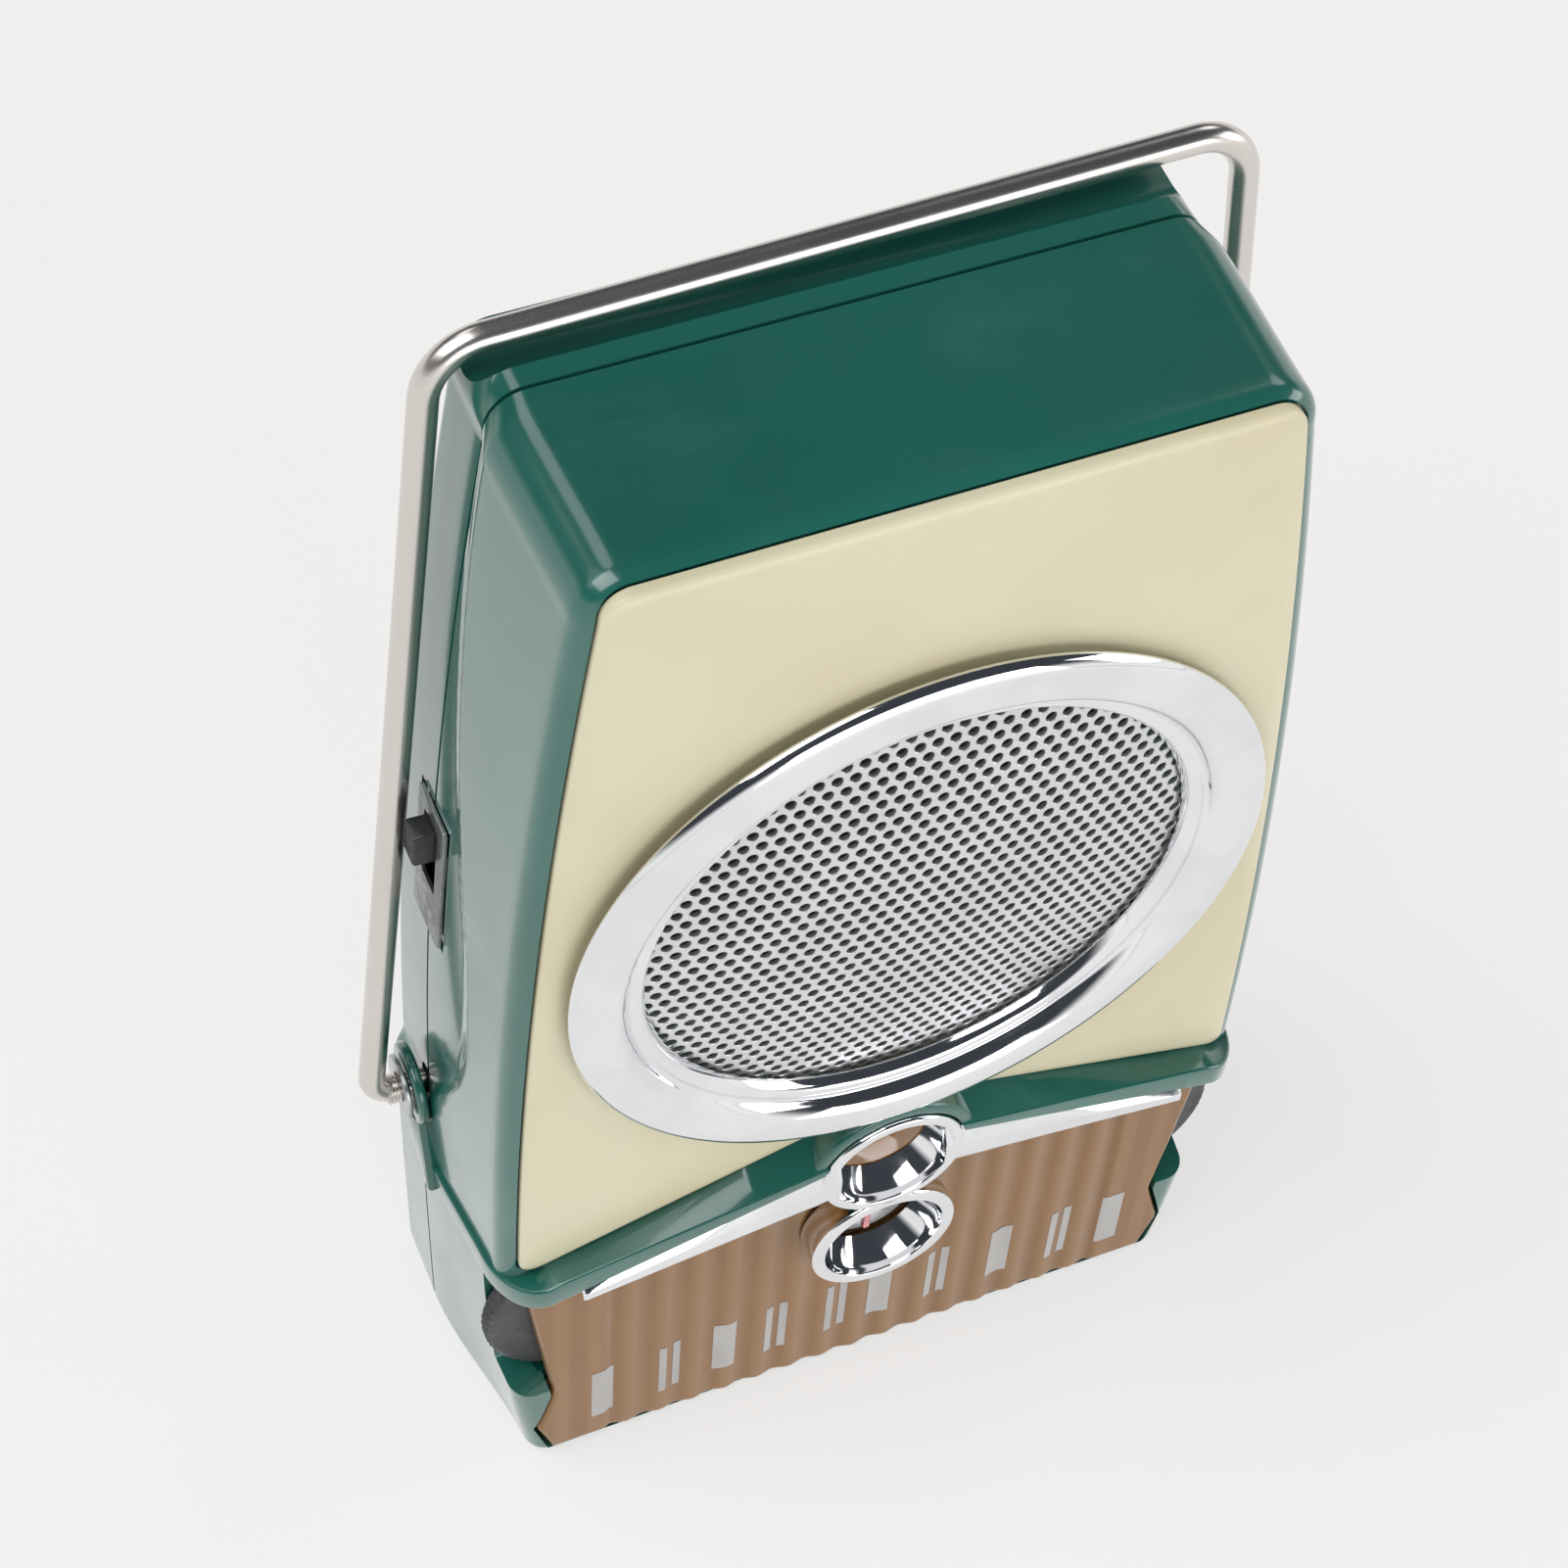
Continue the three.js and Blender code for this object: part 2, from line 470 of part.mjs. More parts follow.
function handle() {
  const reach = Math.hypot(HANDLE.barY - PIVOT.y, HANDLE.barZ - PIVOT.z);
  const at = (x, u) => new THREE.Vector2(x, u);
  const corners = [at(-HANDLE.endX, 0), at(-HANDLE.footX, 0), at(HANDLE.lean - HANDLE.topX, reach),
    at(HANDLE.lean + HANDLE.topX, reach), at(HANDLE.footX, 0), at(HANDLE.endX, 0)];
  const bends = [0, HANDLE.footBend, HANDLE.topBend, HANDLE.topBend, HANDLE.footBend, 0];
  const flat = corners.flatMap((corner, i) =>
    (bends[i] ? rounded(corner, corners[i - 1], corners[i + 1], bends[i]) : [corner]));
  const up = new THREE.Vector3(0, (HANDLE.barY - PIVOT.y) / reach, (HANDLE.barZ - PIVOT.z) / reach);
  const points = flat.map((p) => {
    const twisted = PIVOT.y + HANDLE.twist * p.x * (p.y / reach);
    return new THREE.Vector3(p.x, twisted, PIVOT.z).addScaledVector(up, p.y);
  });
  const route = new THREE.CatmullRomCurve3(points, false, 'centripetal');
  const section = Array.from({ length: 10 }, (_, i) =>
    [WIRE_R * Math.cos((i * Math.PI) / 5), WIRE_R * Math.sin((i * Math.PI) / 5)]);
  return solid(new THREE.ExtrudeGeometry(shapeOf(section), { extrudePath: route, steps: 80 }));
}

const washer = (side) => {
  const disc = barX(3.3, PIVOT.y, PIVOT.z, EAR.outer + GAP, EAR.outer + GAP + 0.5, 28)
    .subtract(barX(WIRE_R + GAP, PIVOT.y, PIVOT.z, 30, 60));
  return side < 0 ? mirrored(disc) : disc;
};

// ---------- side switch ----------
function leaning(made) {
  const lean = (Math.atan(0.068) * 180) / Math.PI;
  const wall = caseHalfWidth(SWITCH.z) - RECESS;
  return made.rotate([0, lean, 0]).translate([-wall, SWITCH.y, SWITCH.z]);
}

function switchPlate() {
  const plate = block(-0.35, 0.0, -SWITCH.wide / 2, SWITCH.wide / 2, -SWITCH.long / 2, SWITCH.long / 2);
  return leaning(plate.subtract(block(-2, 2, -1.7, 1.7, -2.3, 6.7)));
}

const switchHousing = () => leaning(
  block(0.9, 5.4, -2.2, 2.2, -5.9, 7.1).subtract(block(-1, 3.6, -1.7, 1.7, -2.3, 6.7)));

const switchKnob = () => leaning(block(-2.4, 3.2, -1.4, 1.4, 2.3, 6.4));

// ---------- inside ----------
const speakerFrame = () => turned([
  [FRAME_R, 4.0], [FRAME_R, 5.2], [26.6, 5.2], [14.6, 14.0], [0, 14.0], [0, 12.9], [13.8, 12.9],
  [25.6, 4.6], [25.6, 4.0], [FRAME_R, 4.0]], 0, SPEAKER_Z, 32);

const speakerCone = () => turned([
  [0, 9.2], [5.5, 10.6], [24.6, 4.1], [24.6, 4.7], [5.6, 11.3], [0, 9.9]], 0, SPEAKER_Z, 28);

const speakerMagnet = () => barY(13.2, 0, SPEAKER_Z, 14.3, 21.8, 36);

function circuitBoard() {
  const board = block(-BOARD.halfX, BOARD.halfX, BOARD.front, BOARD.back, BOARD.low, BOARD.high);
  const wheelHoles = both(barY(2.6, WHEEL.x, WHEEL.z, 0, 30, 16));
  return board.subtract(wheelHoles).subtract(barY(1.8, 0, TUBE.lowerZ, 0, 30, 16));
}

const canOnBoard = (x, z, w, d, h) =>
  block(x - w / 2, x + w / 2, BOARD.back + GAP, BOARD.back + GAP + h, z - d / 2, z + d / 2);
const drumOnBoard = (x, z, r, h) => barY(r, x, z, BOARD.back + GAP, BOARD.back + GAP + h, 20);

const ROD = { y: 25.0, z: 10.0, r: 3.5, half: 30 };
const antennaCoil = () => barX(4.6, ROD.y, ROD.z, -14, 6, 24).subtract(barX(ROD.r + GAP, ROD.y, ROD.z, -20, 20, 24));

function battery() {
  const x0 = -BATTERY.long / 2 - 1.5;
  const can = block(x0, x0 + BATTERY.long, BATTERY.front, BATTERY.front + BATTERY.deep,
    BATTERY.low, BATTERY.low + BATTERY.tall);
  const studZ = BATTERY.low + BATTERY.tall / 2;
  const end = x0 + BATTERY.long;
  const studY = BATTERY.front + BATTERY.deep / 2;
  return can.add(barX(2.8, studY, studZ - 6.3, end - 1, end + 2.4, 16))
    .add(barX(2.8, studY, studZ + 6.3, end - 1, end + 2.4, 16));
}

function batterySnap() {
  const end = BATTERY.long / 2 - 1.5 + 2.4 + GAP;
  const studY = BATTERY.front + BATTERY.deep / 2;
  const studZ = BATTERY.low + BATTERY.tall / 2;
  return block(end, end + 1.6, studY - 6, studY + 6, studZ - 11.5, studZ + 11.5);
}

function lead(points) {
  const route = new THREE.CatmullRomCurve3(points.map((p) => new THREE.Vector3(...p)));
  const section = Array.from({ length: 8 }, (_, i) =>
    [0.55 * Math.cos((i * Math.PI) / 4), 0.55 * Math.sin((i * Math.PI) / 4)]);
  return solid(new THREE.ExtrudeGeometry(shapeOf(section), { extrudePath: route, steps: 18 }));
}

const caseScrew = (side) => barY(2.4, side * SCREW.x, SCREW.z, 30.3, 31.7, 24)
  .add(barY(1.2, side * SCREW.x, SCREW.z, 17, 30.4, 16))
  .subtract(block(side * SCREW.x - 2.6, side * SCREW.x + 2.6, 31.0, 33, SCREW.z - 0.4, SCREW.z + 0.4));

const boardScrew = (side) => barY(2.2, side * 30.5, 51, BOARD.back + GAP, BOARD.back + 1.9, 20)
  .subtract(block(side * 30.5 - 2.5, side * 30.5 + 2.5, BOARD.back + 1.3, 20, 50.6, 51.4));

// ---------- assembly ----------
const radio = new THREE.Group();

function place(name, made, material) {
  const mesh = new THREE.Mesh(geometryOf(made), material);
  mesh.name = name;
  radio.add(mesh);
}

place('front_shell', frontShell(), GREEN);
place('rear_shell', rearShell(), GREEN);
place('battery_door', batteryDoor(), GREEN);
place('front_panel', frontPanel(), CREAM);
place('speaker_trim_ring', speakerRing(), CHROME);
place('speaker_grille', speakerGrille(), MESH_METAL);
place('wing_trim', wingTrim(), CHROME);
place('tuner_lens', tunerLens(), AMBER);
place('dial_plate', dialPlate(), BROWN);
place('dial_disc', dialDisc(), GREY);
place('dial_pointer', dialPointer(), RED);
place('dial_cord', dialCord(), BLACK);
place('volume_wheel', volumeWheel(), DARK);
place('tuning_wheel', tuningWheel(), DARK);
place('handle', handle(), NICKEL);
place('handle_washer_left', washer(-1), STEEL);
place('handle_washer_right', washer(1), STEEL);
place('switch_plate', switchPlate(), GREY);
place('switch_housing', switchHousing(), BLACK);
place('switch_knob', switchKnob(), BLACK);
place('speaker_frame', speakerFrame(), STEEL);
place('speaker_cone', speakerCone(), PAPER);
place('speaker_magnet', speakerMagnet(), STEEL);
place('circuit_board', circuitBoard(), BOARD_TAN);
place('tuning_capacitor', canOnBoard(WHEEL.x, WHEEL.z, 15, 15, 10), CREAM);
place('volume_control', drumOnBoard(-WHEEL.x, WHEEL.z, 8, 5.5), STEEL);
place('ferrite_rod', barX(ROD.r, ROD.y, ROD.z, -ROD.half, ROD.half, 24), FERRITE);
place('antenna_coil', antennaCoil(), COPPER);
[-1, 1].forEach((side) => {
  const name = side < 0 ? 'left' : 'right';
  place(`rod_clip_${name}`, canOnBoard(side * 22, ROD.z, 3, 7, ROD.y - ROD.r - 0.6 - BOARD.back), BLACK);
  place(`case_screw_${name}`, caseScrew(side), STEEL);
  place(`board_screw_${name}`, boardScrew(side), STEEL);
});
[-19, -8, 3].forEach((x, i) => place(`if_can_${i + 1}`, canOnBoard(x, 51, 7.5, 7.5, 10), STEEL));
[14, 23].forEach((x, i) => place(`audio_transformer_${i + 1}`, canOnBoard(x, 49, 7.5, 10, 9), PAPER));
for (let i = 0; i < 6; i += 1) place(`transistor_${i + 1}`, drumOnBoard(-25 + 9.4 * i, 40, 2.4, 6), STEEL);
[-14.5, -7.5, 7.5, 14.5].forEach((x, i) => place(`electrolytic_${i + 1}`, drumOnBoard(x, 31, 2.6, 10), BLUE));
[-12, -4, 4, 12].forEach((x, i) => place(`resistor_${i + 1}`, canOnBoard(x, 22, 2.2, 6.5, 2.2), YELLOW));
place('battery', battery(), RED);
place('battery_snap', batterySnap(), BLACK);
place('battery_lead_red', lead([[28, 24.2, 111.5], [29.5, 25.6, 104], [30, 25, 90], [29.6, 22, 72], [27, 16.2, 55]]), RED);
place('battery_lead_black', lead([[28, 17, 111.5], [28.6, 17.6, 104], [28.3, 20, 90], [27, 19.6, 72], [22.5, 16.4, 56]]), BLACK);

// Centred in depth between the speaker ring's crest and the rear face.
const RING_CREST_Y = -2.9;
radio.position.y = -(RING_CREST_Y + BACK_Y) / 2;

export default radio;
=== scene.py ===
# Looks for the transistor pocket radio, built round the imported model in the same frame.
import math

import bmesh
import bpy
import numpy as np
from mathutils import Matrix, Vector


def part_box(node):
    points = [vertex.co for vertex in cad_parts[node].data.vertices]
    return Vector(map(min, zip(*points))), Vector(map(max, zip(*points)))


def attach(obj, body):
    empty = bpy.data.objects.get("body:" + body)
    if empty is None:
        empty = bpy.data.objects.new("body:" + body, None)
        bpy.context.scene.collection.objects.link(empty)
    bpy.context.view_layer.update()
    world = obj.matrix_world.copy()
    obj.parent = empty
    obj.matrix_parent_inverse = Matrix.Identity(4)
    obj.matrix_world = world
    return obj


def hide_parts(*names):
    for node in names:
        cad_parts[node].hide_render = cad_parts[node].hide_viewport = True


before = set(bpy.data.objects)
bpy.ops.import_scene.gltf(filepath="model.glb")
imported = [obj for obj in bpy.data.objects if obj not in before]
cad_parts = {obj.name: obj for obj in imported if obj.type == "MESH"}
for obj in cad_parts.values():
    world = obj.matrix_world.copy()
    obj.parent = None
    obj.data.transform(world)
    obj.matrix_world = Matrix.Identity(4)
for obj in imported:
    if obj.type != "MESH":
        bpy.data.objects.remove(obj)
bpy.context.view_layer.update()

MM = 0.001
# The cream face's depth. Points below are in millimetres, with y = 0 on that face.
FACE_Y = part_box("front_panel")[0][1] / MM

GAP, FRONT_Y, PARTING_Y, BACK_Y, TOP_Z, INNER_TOP_Z = 0.3, 1.0, 22.8, 31.9, 140.4, 135.9
SPEAKER_Z = 86.6
UPPER_Z, LOWER_Z, TUBE_HOLE_R = 44.7, 30.2, 6.75
PANEL_TOP_Z, PANEL_FOOT_Z, PANEL_FOOT_SLOPE = 139.5, 52.7, 0.288
PIVOT_Y, PIVOT_Z, PIVOT_HOLE_R = 23.2, 44.7, 1.65
WIRE_R, HANDLE_TOP_Y, HANDLE_TOP_Z = 1.32, 29.0, 141.2
WHEEL_X, WHEEL_Z, WHEEL_R = 29.0, 25.7, 11.8
SWITCH_Y, SWITCH_Z = 22.6, 80.9
SCREW_X, SCREW_Z = 32.2, 64.5
FLUTE = 3.73  # from one crest of the tuner window to the next


# ---------- mesh tools ----------
def finish_mesh(name, bm, material, body, sharp=35):
    """Turns a bmesh in millimetres into a placed, shaded piece that rides on a body."""
    for v in bm.verts:
        v.co = Vector((v.co.x * MM, (v.co.y + FACE_Y) * MM, v.co.z * MM))
    bmesh.ops.remove_doubles(bm, verts=bm.verts, dist=2e-6)
    bmesh.ops.recalc_face_normals(bm, faces=bm.faces)
    mesh = bpy.data.meshes.new(name)
    bm.to_mesh(mesh)
    bm.free()
    piece = bpy.data.objects.new(name, mesh)
    bpy.context.scene.collection.objects.link(piece)
    shade(piece, sharp)
    if material:
        mesh.materials.append(material)
    if body:
        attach(piece, body)
    return piece


def shade(piece, sharp):
    piece.data.shade_smooth()
    piece.data.set_sharp_from_angle(angle=math.radians(sharp))


def add_loft(bm, rows, closed=True, caps=True):
    """Skin over rows of points. Each row is a closed ring unless closed is False."""
    rings = [[bm.verts.new(p) for p in row] for row in rows]
    n = len(rings[0])
    for a, b in zip(rings, rings[1:]):
        for i in range(n if closed else n - 1):
            j = (i + 1) % n
            bm.faces.new((a[i], a[j], b[j], b[i]))
    if caps:
        bm.faces.new(rings[0][::-1])
        bm.faces.new(rings[-1])


def add_lathe(bm, profile, centre, axis, segments):
    """Turns a closed profile of (radius, along) about an axis, x or y, through centre."""
    rings = []
    for k in range(segments):
        a = 2 * math.pi * k / segments
        ring = []
        for r, t in profile:
            u, v = r * math.cos(a), r * math.sin(a)
            first, second = centre[0] + u, centre[1] + v
            ring.append((first, t, second) if axis == "y" else (t, first, second))
        rings.append([bm.verts.new(p) for p in ring])
    n = len(profile)
    for k in range(segments):
        a, b = rings[k], rings[(k + 1) % segments]
        for i in range(n):
            j = (i + 1) % n
            bm.faces.new((a[i], a[j], b[j], b[i]))
    bmesh.ops.remove_doubles(bm, verts=bm.verts, dist=1e-5)
    bmesh.ops.dissolve_degenerate(bm, edges=bm.edges, dist=1e-6)


def rounded_path(points, closed=True, steps=6):
    """A path of (a, b, radius) with each corner turned into an arc."""
    out = []
    n = len(points)
    for i, (a, b, r) in enumerate(points):
        p = np.array((a, b), float)
        if r <= 0 or (not closed and i in (0, n - 1)):
            out.append(p)
            continue
        u = np.array(points[i - 1][:2], float) - p
        v = np.array(points[(i + 1) % n][:2], float) - p
        lu, lv = np.linalg.norm(u), np.linalg.norm(v)
        u, v = u / lu, v / lv
        half = math.acos(max(-1, min(1, float(u @ v)))) / 2
        reach = min(r / math.tan(half), 0.49 * lu, 0.49 * lv)
        r = reach * math.tan(half)
        mid = (u + v) / np.linalg.norm(u + v)
        centre = p + mid * r / math.sin(half)
        s, e = p + u * reach - centre, p + v * reach - centre
        a0 = math.atan2(s[1], s[0])
        turn = (math.atan2(e[1], e[0]) - a0 + math.pi) % (2 * math.pi) - math.pi
        for k in range(steps + 1):
            t = a0 + turn * k / steps
            out.append(centre + r * np.array((math.cos(t), math.sin(t))))
    return out


def smooth_curve(points, per=6, closed=False):
    """A Catmull-Rom curve through points."""
    p = [np.array(q, float) for q in points]
    n = len(p)
    out = []
    for i in range(n if closed else n - 1):
        p0, p1 = p[i - 1] if closed or i else p[0], p[i]
        p2 = p[(i + 1) % n]
        p3 = p[(i + 2) % n] if closed or i + 2 < n else p[-1]
        for k in range(per):
            t = k / per
            out.append(0.5 * (2 * p1 + (p2 - p0) * t + (2 * p0 - 5 * p1 + 4 * p2 - p3) * t * t
                              + (3 * p1 - p0 - 3 * p2 + p3) * t ** 3))
    if not closed:
        out.append(p[-1])
    return out


def offset(outline, amount):
    """Moves a closed (x, z) outline inwards along its own normals."""
    p = np.array(outline, float)
    before, after = np.roll(p, 1, 0), np.roll(p, -1, 0)
    area = np.sum(before[:, 0] * p[:, 1] - p[:, 0] * before[:, 1])
    e0, e1 = p - before, after - p
    n0 = np.stack([e0[:, 1], -e0[:, 0]], 1) / np.maximum(np.linalg.norm(e0, axis=1), 1e-9)[:, None]
    n1 = np.stack([e1[:, 1], -e1[:, 0]], 1) / np.maximum(np.linalg.norm(e1, axis=1), 1e-9)[:, None]
    n = n0 + n1
    n = n / np.maximum(np.sum(n * n, axis=1), 0.6)[:, None] * 2
    return p - n * amount * (1 if area > 0 else -1)


def add_plate(bm, outline, y0, y1, inset, depth, steps=8):
    """A plate whose front edge is an elliptical rounding, inset wide and depth deep."""
    rows = []
    for k in range(steps + 1):
        a = math.pi / 2 * k / steps
        ring = offset(outline, inset * (1 - math.sin(a)))
        rows.append([(x, y0 + depth * (1 - math.cos(a)), z) for x, z in ring])
    rows.append([(x, y1, z) for x, z in outline])
    add_loft(bm, rows)


def add_prism(bm, outline, lo, hi, plane="xz"):
    """A plain extrusion of an outline, for cutting."""
    put = {"xz": lambda p, t: (p[0], t, p[1]), "yz": lambda p, t: (t, p[0], p[1])}[plane]
    add_loft(bm, [[put(p, lo) for p in outline], [put(p, hi) for p in outline]])


def circle(cx, cz, r, n=96):
    return [(cx + r * math.cos(2 * math.pi * k / n), cz + r * math.sin(2 * math.pi * k / n))
            for k in range(n)]


def cut(piece, makers, operation="DIFFERENCE", sharp=30):
    """Cuts a piece with throwaway solids. Each maker adds one solid to a bmesh."""
    cutters = []
    for k, make in enumerate(makers):
        bm = bmesh.new()
        make(bm)
        cutter = finish_mesh(f"cutter_{k}", bm, None, None)
        cutters.append(cutter)
        step = piece.modifiers.new(f"cut_{k}", "BOOLEAN")
        step.operation = operation
        step.solver = "EXACT"
        step.object = cutter
    bake(piece, sharp)
    for cutter in cutters:
        old = cutter.data
        bpy.data.objects.remove(cutter)
        bpy.data.meshes.remove(old)


def bake(piece, sharp=30):
    """Applies a piece's modifiers to its mesh."""
    bpy.context.view_layer.update()
    old = piece.data
    graph = bpy.context.evaluated_depsgraph_get()
    new = bpy.data.meshes.new_from_object(piece.evaluated_get(graph))
    new.name = piece.name
    piece.modifiers.clear()
    piece.data = new
    bpy.data.meshes.remove(old)
    shade(piece, sharp)


def prism(outline, lo, hi, plane="xz"):
    return lambda bm: add_prism(bm, outline, lo, hi, plane)


def round_bar(cx, cz, r, y0, y1):
    return prism(circle(cx, cz, r), y0, y1)


# ---------- materials ----------
def new_material(name):
    material = bpy.data.materials.new(name)
    material.use_nodes = True
    tree = material.node_tree
    return material, tree, tree.nodes["Principled BSDF"]


def node(tree, kind, **inputs):
    made = tree.nodes.new(kind)
    for key, value in inputs.items():
        made.inputs[key].default_value = value
    return made


def noise(tree, scale, detail=3.0, stretch=(1, 1, 1)):
    """Noise over the piece's own coordinates; scale is in features per metre."""
    coords = tree.nodes.new("ShaderNodeTexCoord")
    mapping = tree.nodes.new("ShaderNodeMapping")
    mapping.inputs["Scale"].default_value = stretch
    tree.links.new(coords.outputs["Object"], mapping.inputs["Vector"])
    made = node(tree, "ShaderNodeTexNoise", Scale=scale, Detail=detail, Roughness=0.6)
    tree.links.new(mapping.outputs[0], made.inputs["Vector"])
    return made.outputs["Fac"]


def remap(tree, value, lo, hi, out_lo, out_hi):
    made = tree.nodes.new("ShaderNodeMapRange")
    made.interpolation_type = "SMOOTHSTEP"
    for key, number in (("From Min", lo), ("From Max", hi), ("To Min", out_lo), ("To Max", out_hi)):
        made.inputs[key].default_value = number
    tree.links.new(value, made.inputs["Value"])
    return made.outputs["Result"]


def mixed(tree, factor, a, b):
    made = tree.nodes.new("ShaderNodeMix")
    made.data_type = "RGBA"
    tree.links.new(factor, made.inputs["Factor"])
    for socket, value in ((made.inputs["A"], a), (made.inputs["B"], b)):
        if isinstance(value, tuple):
            socket.default_value = (*value, 1)
        else:
            tree.links.new(value, socket)
    return made.outputs["Result"]


def surface(name, light, dark, rough, metallic=0.0, scale=120, bump=0.05, grain=2500, coat=0.0,
            stretch=(1, 1, 1), scuffs=None, specular=0.5):
    """A material with mottled colour, uneven gloss and a fine grain, and light scuffs if asked."""
    material, tree, shader = new_material(name)
    colour = mixed(tree, remap(tree, noise(tree, scale), 0.35, 0.65, 0, 1), dark, light)
    roughness = remap(tree, noise(tree, scale * 3.1, 5), 0.3, 0.7, rough[0], rough[1])
    if scuffs:
        marks = noise(tree, scuffs["scale"], scuffs["detail"], scuffs["stretch"])
        mask = remap(tree, marks, scuffs["from"], scuffs["to"], 0, scuffs["most"])
        colour = mixed(tree, mask, colour, scuffs["colour"])
    tree.links.new(colour, shader.inputs["Base Color"])
    tree.links.new(roughness, shader.inputs["Roughness"])
    shader.inputs["Metallic"].default_value = metallic
    shader.inputs["Specular IOR Level"].default_value = specular
    shader.inputs["Coat Weight"].default_value = coat
    shader.inputs["Coat Roughness"].default_value = 0.08
    relief = node(tree, "ShaderNodeBump", Strength=bump, Distance=0.0002)
    tree.links.new(noise(tree, grain, 2, stretch), relief.inputs["Height"])
    tree.links.new(relief.outputs["Normal"], shader.inputs["Normal"])
    return material


SCUFFS = {"scale": 60, "detail": 6, "stretch": (0.6, 1.2, 1.2), "from": 0.50, "to": 0.80, "most": 0.22,
          "colour": (0.13, 0.30, 0.26)}
YELLOWING = {"scale": 30, "detail": 2, "stretch": (1, 1, 1), "from": 0.50, "to": 0.80, "most": 0.22,
             "colour": (0.58, 0.50, 0.32)}
GREEN = surface("case_green", (0.013, 0.122, 0.095), (0.011, 0.108, 0.083), (0.18, 0.27), scale=25, bump=0.02,
                grain=700, coat=0.8, scuffs=SCUFFS)
CREAM = surface("cream_panel", (0.70, 0.66, 0.47), (0.66, 0.60, 0.40), (0.30, 0.35), scale=25, bump=0.003,
                grain=400, scuffs=YELLOWING)
CHROME = surface("chrome_trim", (0.86, 0.87, 0.89), (0.80, 0.81, 0.83), (0.03, 0.10), metallic=1, scale=90,
                 bump=0.01, grain=1200)
WIRE = surface("handle_wire", (0.72, 0.685, 0.65), (0.70, 0.66, 0.625), (0.25, 0.28), metallic=1, scale=40,
               bump=0.0, grain=3000, stretch=(1, 1, 0.15))
MESH = surface("grille_metal", (0.72, 0.73, 0.74), (0.66, 0.67, 0.68), (0.25, 0.40), metallic=0.8, scale=70,
               bump=0.04)
BACKING = surface("lens_backing", (0.50, 0.27, 0.105), (0.44, 0.23, 0.085), (0.4, 0.6), scale=80)
SILVER = surface("dial_print", (0.48, 0.47, 0.46), (0.42, 0.41, 0.40), (0.3, 0.35), metallic=0.3, scale=60,
                 bump=0.0)
WHEEL = surface("wheel_dark", (0.055, 0.058, 0.063), (0.035, 0.037, 0.040), (0.35, 0.55), scale=150)
BLACK = surface("black_plastic", (0.020, 0.020, 0.022), (0.012, 0.012, 0.013), (0.3, 0.5), scale=200)
PLATE = surface("switch_grey", (0.30, 0.32, 0.32), (0.20, 0.21, 0.22), (0.25, 0.45), metallic=0.9, scale=300,
                stretch=(1, 1, 6))
DIAL = surface("dial_grey", (0.42, 0.43, 0.44), (0.34, 0.35, 0.36), (0.3, 0.45), metallic=0.5, scale=250)
RED = surface("pointer_red", (0.55, 0.02, 0.015), (0.42, 0.015, 0.01), (0.2, 0.35), scale=400)
TAN = surface("board_tan", (0.36, 0.20, 0.09), (0.26, 0.14, 0.06), (0.5, 0.7), scale=200, stretch=(6, 1, 1))
STEEL = surface("steel", (0.56, 0.57, 0.58), (0.44, 0.45, 0.46), (0.22, 0.4), metallic=1, scale=200,
                stretch=(1, 1, 8))
COPPER = surface("copper", (0.62, 0.27, 0.12), (0.45, 0.18, 0.08), (0.25, 0.4), metallic=1, scale=900,
                 stretch=(8, 1, 1))
PAPER = surface("cone_paper", (0.035, 0.032, 0.030), (0.020, 0.018, 0.017), (0.75, 0.95), scale=900, bump=0.2)
FERRITE = surface("ferrite", (0.045, 0.042, 0.040), (0.030, 0.028, 0.027), (0.5, 0.7), scale=500)
BLUE = surface("capacitor_blue", (0.03, 0.09, 0.30), (0.02, 0.06, 0.22), (0.2, 0.35), scale=250)
YELLOW = surface("resistor_yellow", (0.62, 0.40, 0.05), (0.50, 0.31, 0.04), (0.35, 0.5), scale=300)
CAN = surface("battery_can", (0.34, 0.03, 0.02), (0.31, 0.025, 0.017), (0.3, 0.36), metallic=0.3, scale=60,
              bump=0.005)


def amber():
    """Tinted plastic painted behind, with a painted highlight that lightens each flute's crest, and a little
    see-through.
    """
    material, tree, shader = new_material("lens_amber")
    coords = tree.nodes.new("ShaderNodeTexCoord")
    split = tree.nodes.new("ShaderNodeSeparateXYZ")
    tree.links.new(coords.outputs["Object"], split.inputs[0])
    wave = node(tree, "ShaderNodeMath")
    wave.operation = "MULTIPLY"
    wave.inputs[1].default_value = 2 * math.pi / (FLUTE * MM)
    tree.links.new(split.outputs["X"], wave.inputs[0])
    swing = tree.nodes.new("ShaderNodeMath")
    swing.operation = "COSINE"
    tree.links.new(wave.outputs[0], swing.inputs[0])
    # Painted highlight: along x the colour lifts to a lighter amber on every flute's crest, where light
    # catches it.
    painted_crest_highlight = remap(tree, swing.outputs[0], -0.5, 0.9, 0, 1)
    mottled = mixed(tree, remap(tree, noise(tree, 60), 0.35, 0.65, 0, 1), (0.29, 0.141, 0.044),
                    (0.27, 0.130, 0.040))
    colour = mixed(tree, painted_crest_highlight, mottled, (0.32, 0.165, 0.062))
    tree.links.new(colour, shader.inputs["Base Color"])
    tree.links.new(remap(tree, noise(tree, 90, 2), 0.3, 0.7, 0.14, 0.18), shader.inputs["Roughness"])
    shader.inputs["Transmission Weight"].default_value = 0.12
    shader.inputs["IOR"].default_value = 1.47
    return material


AMBER = amber()

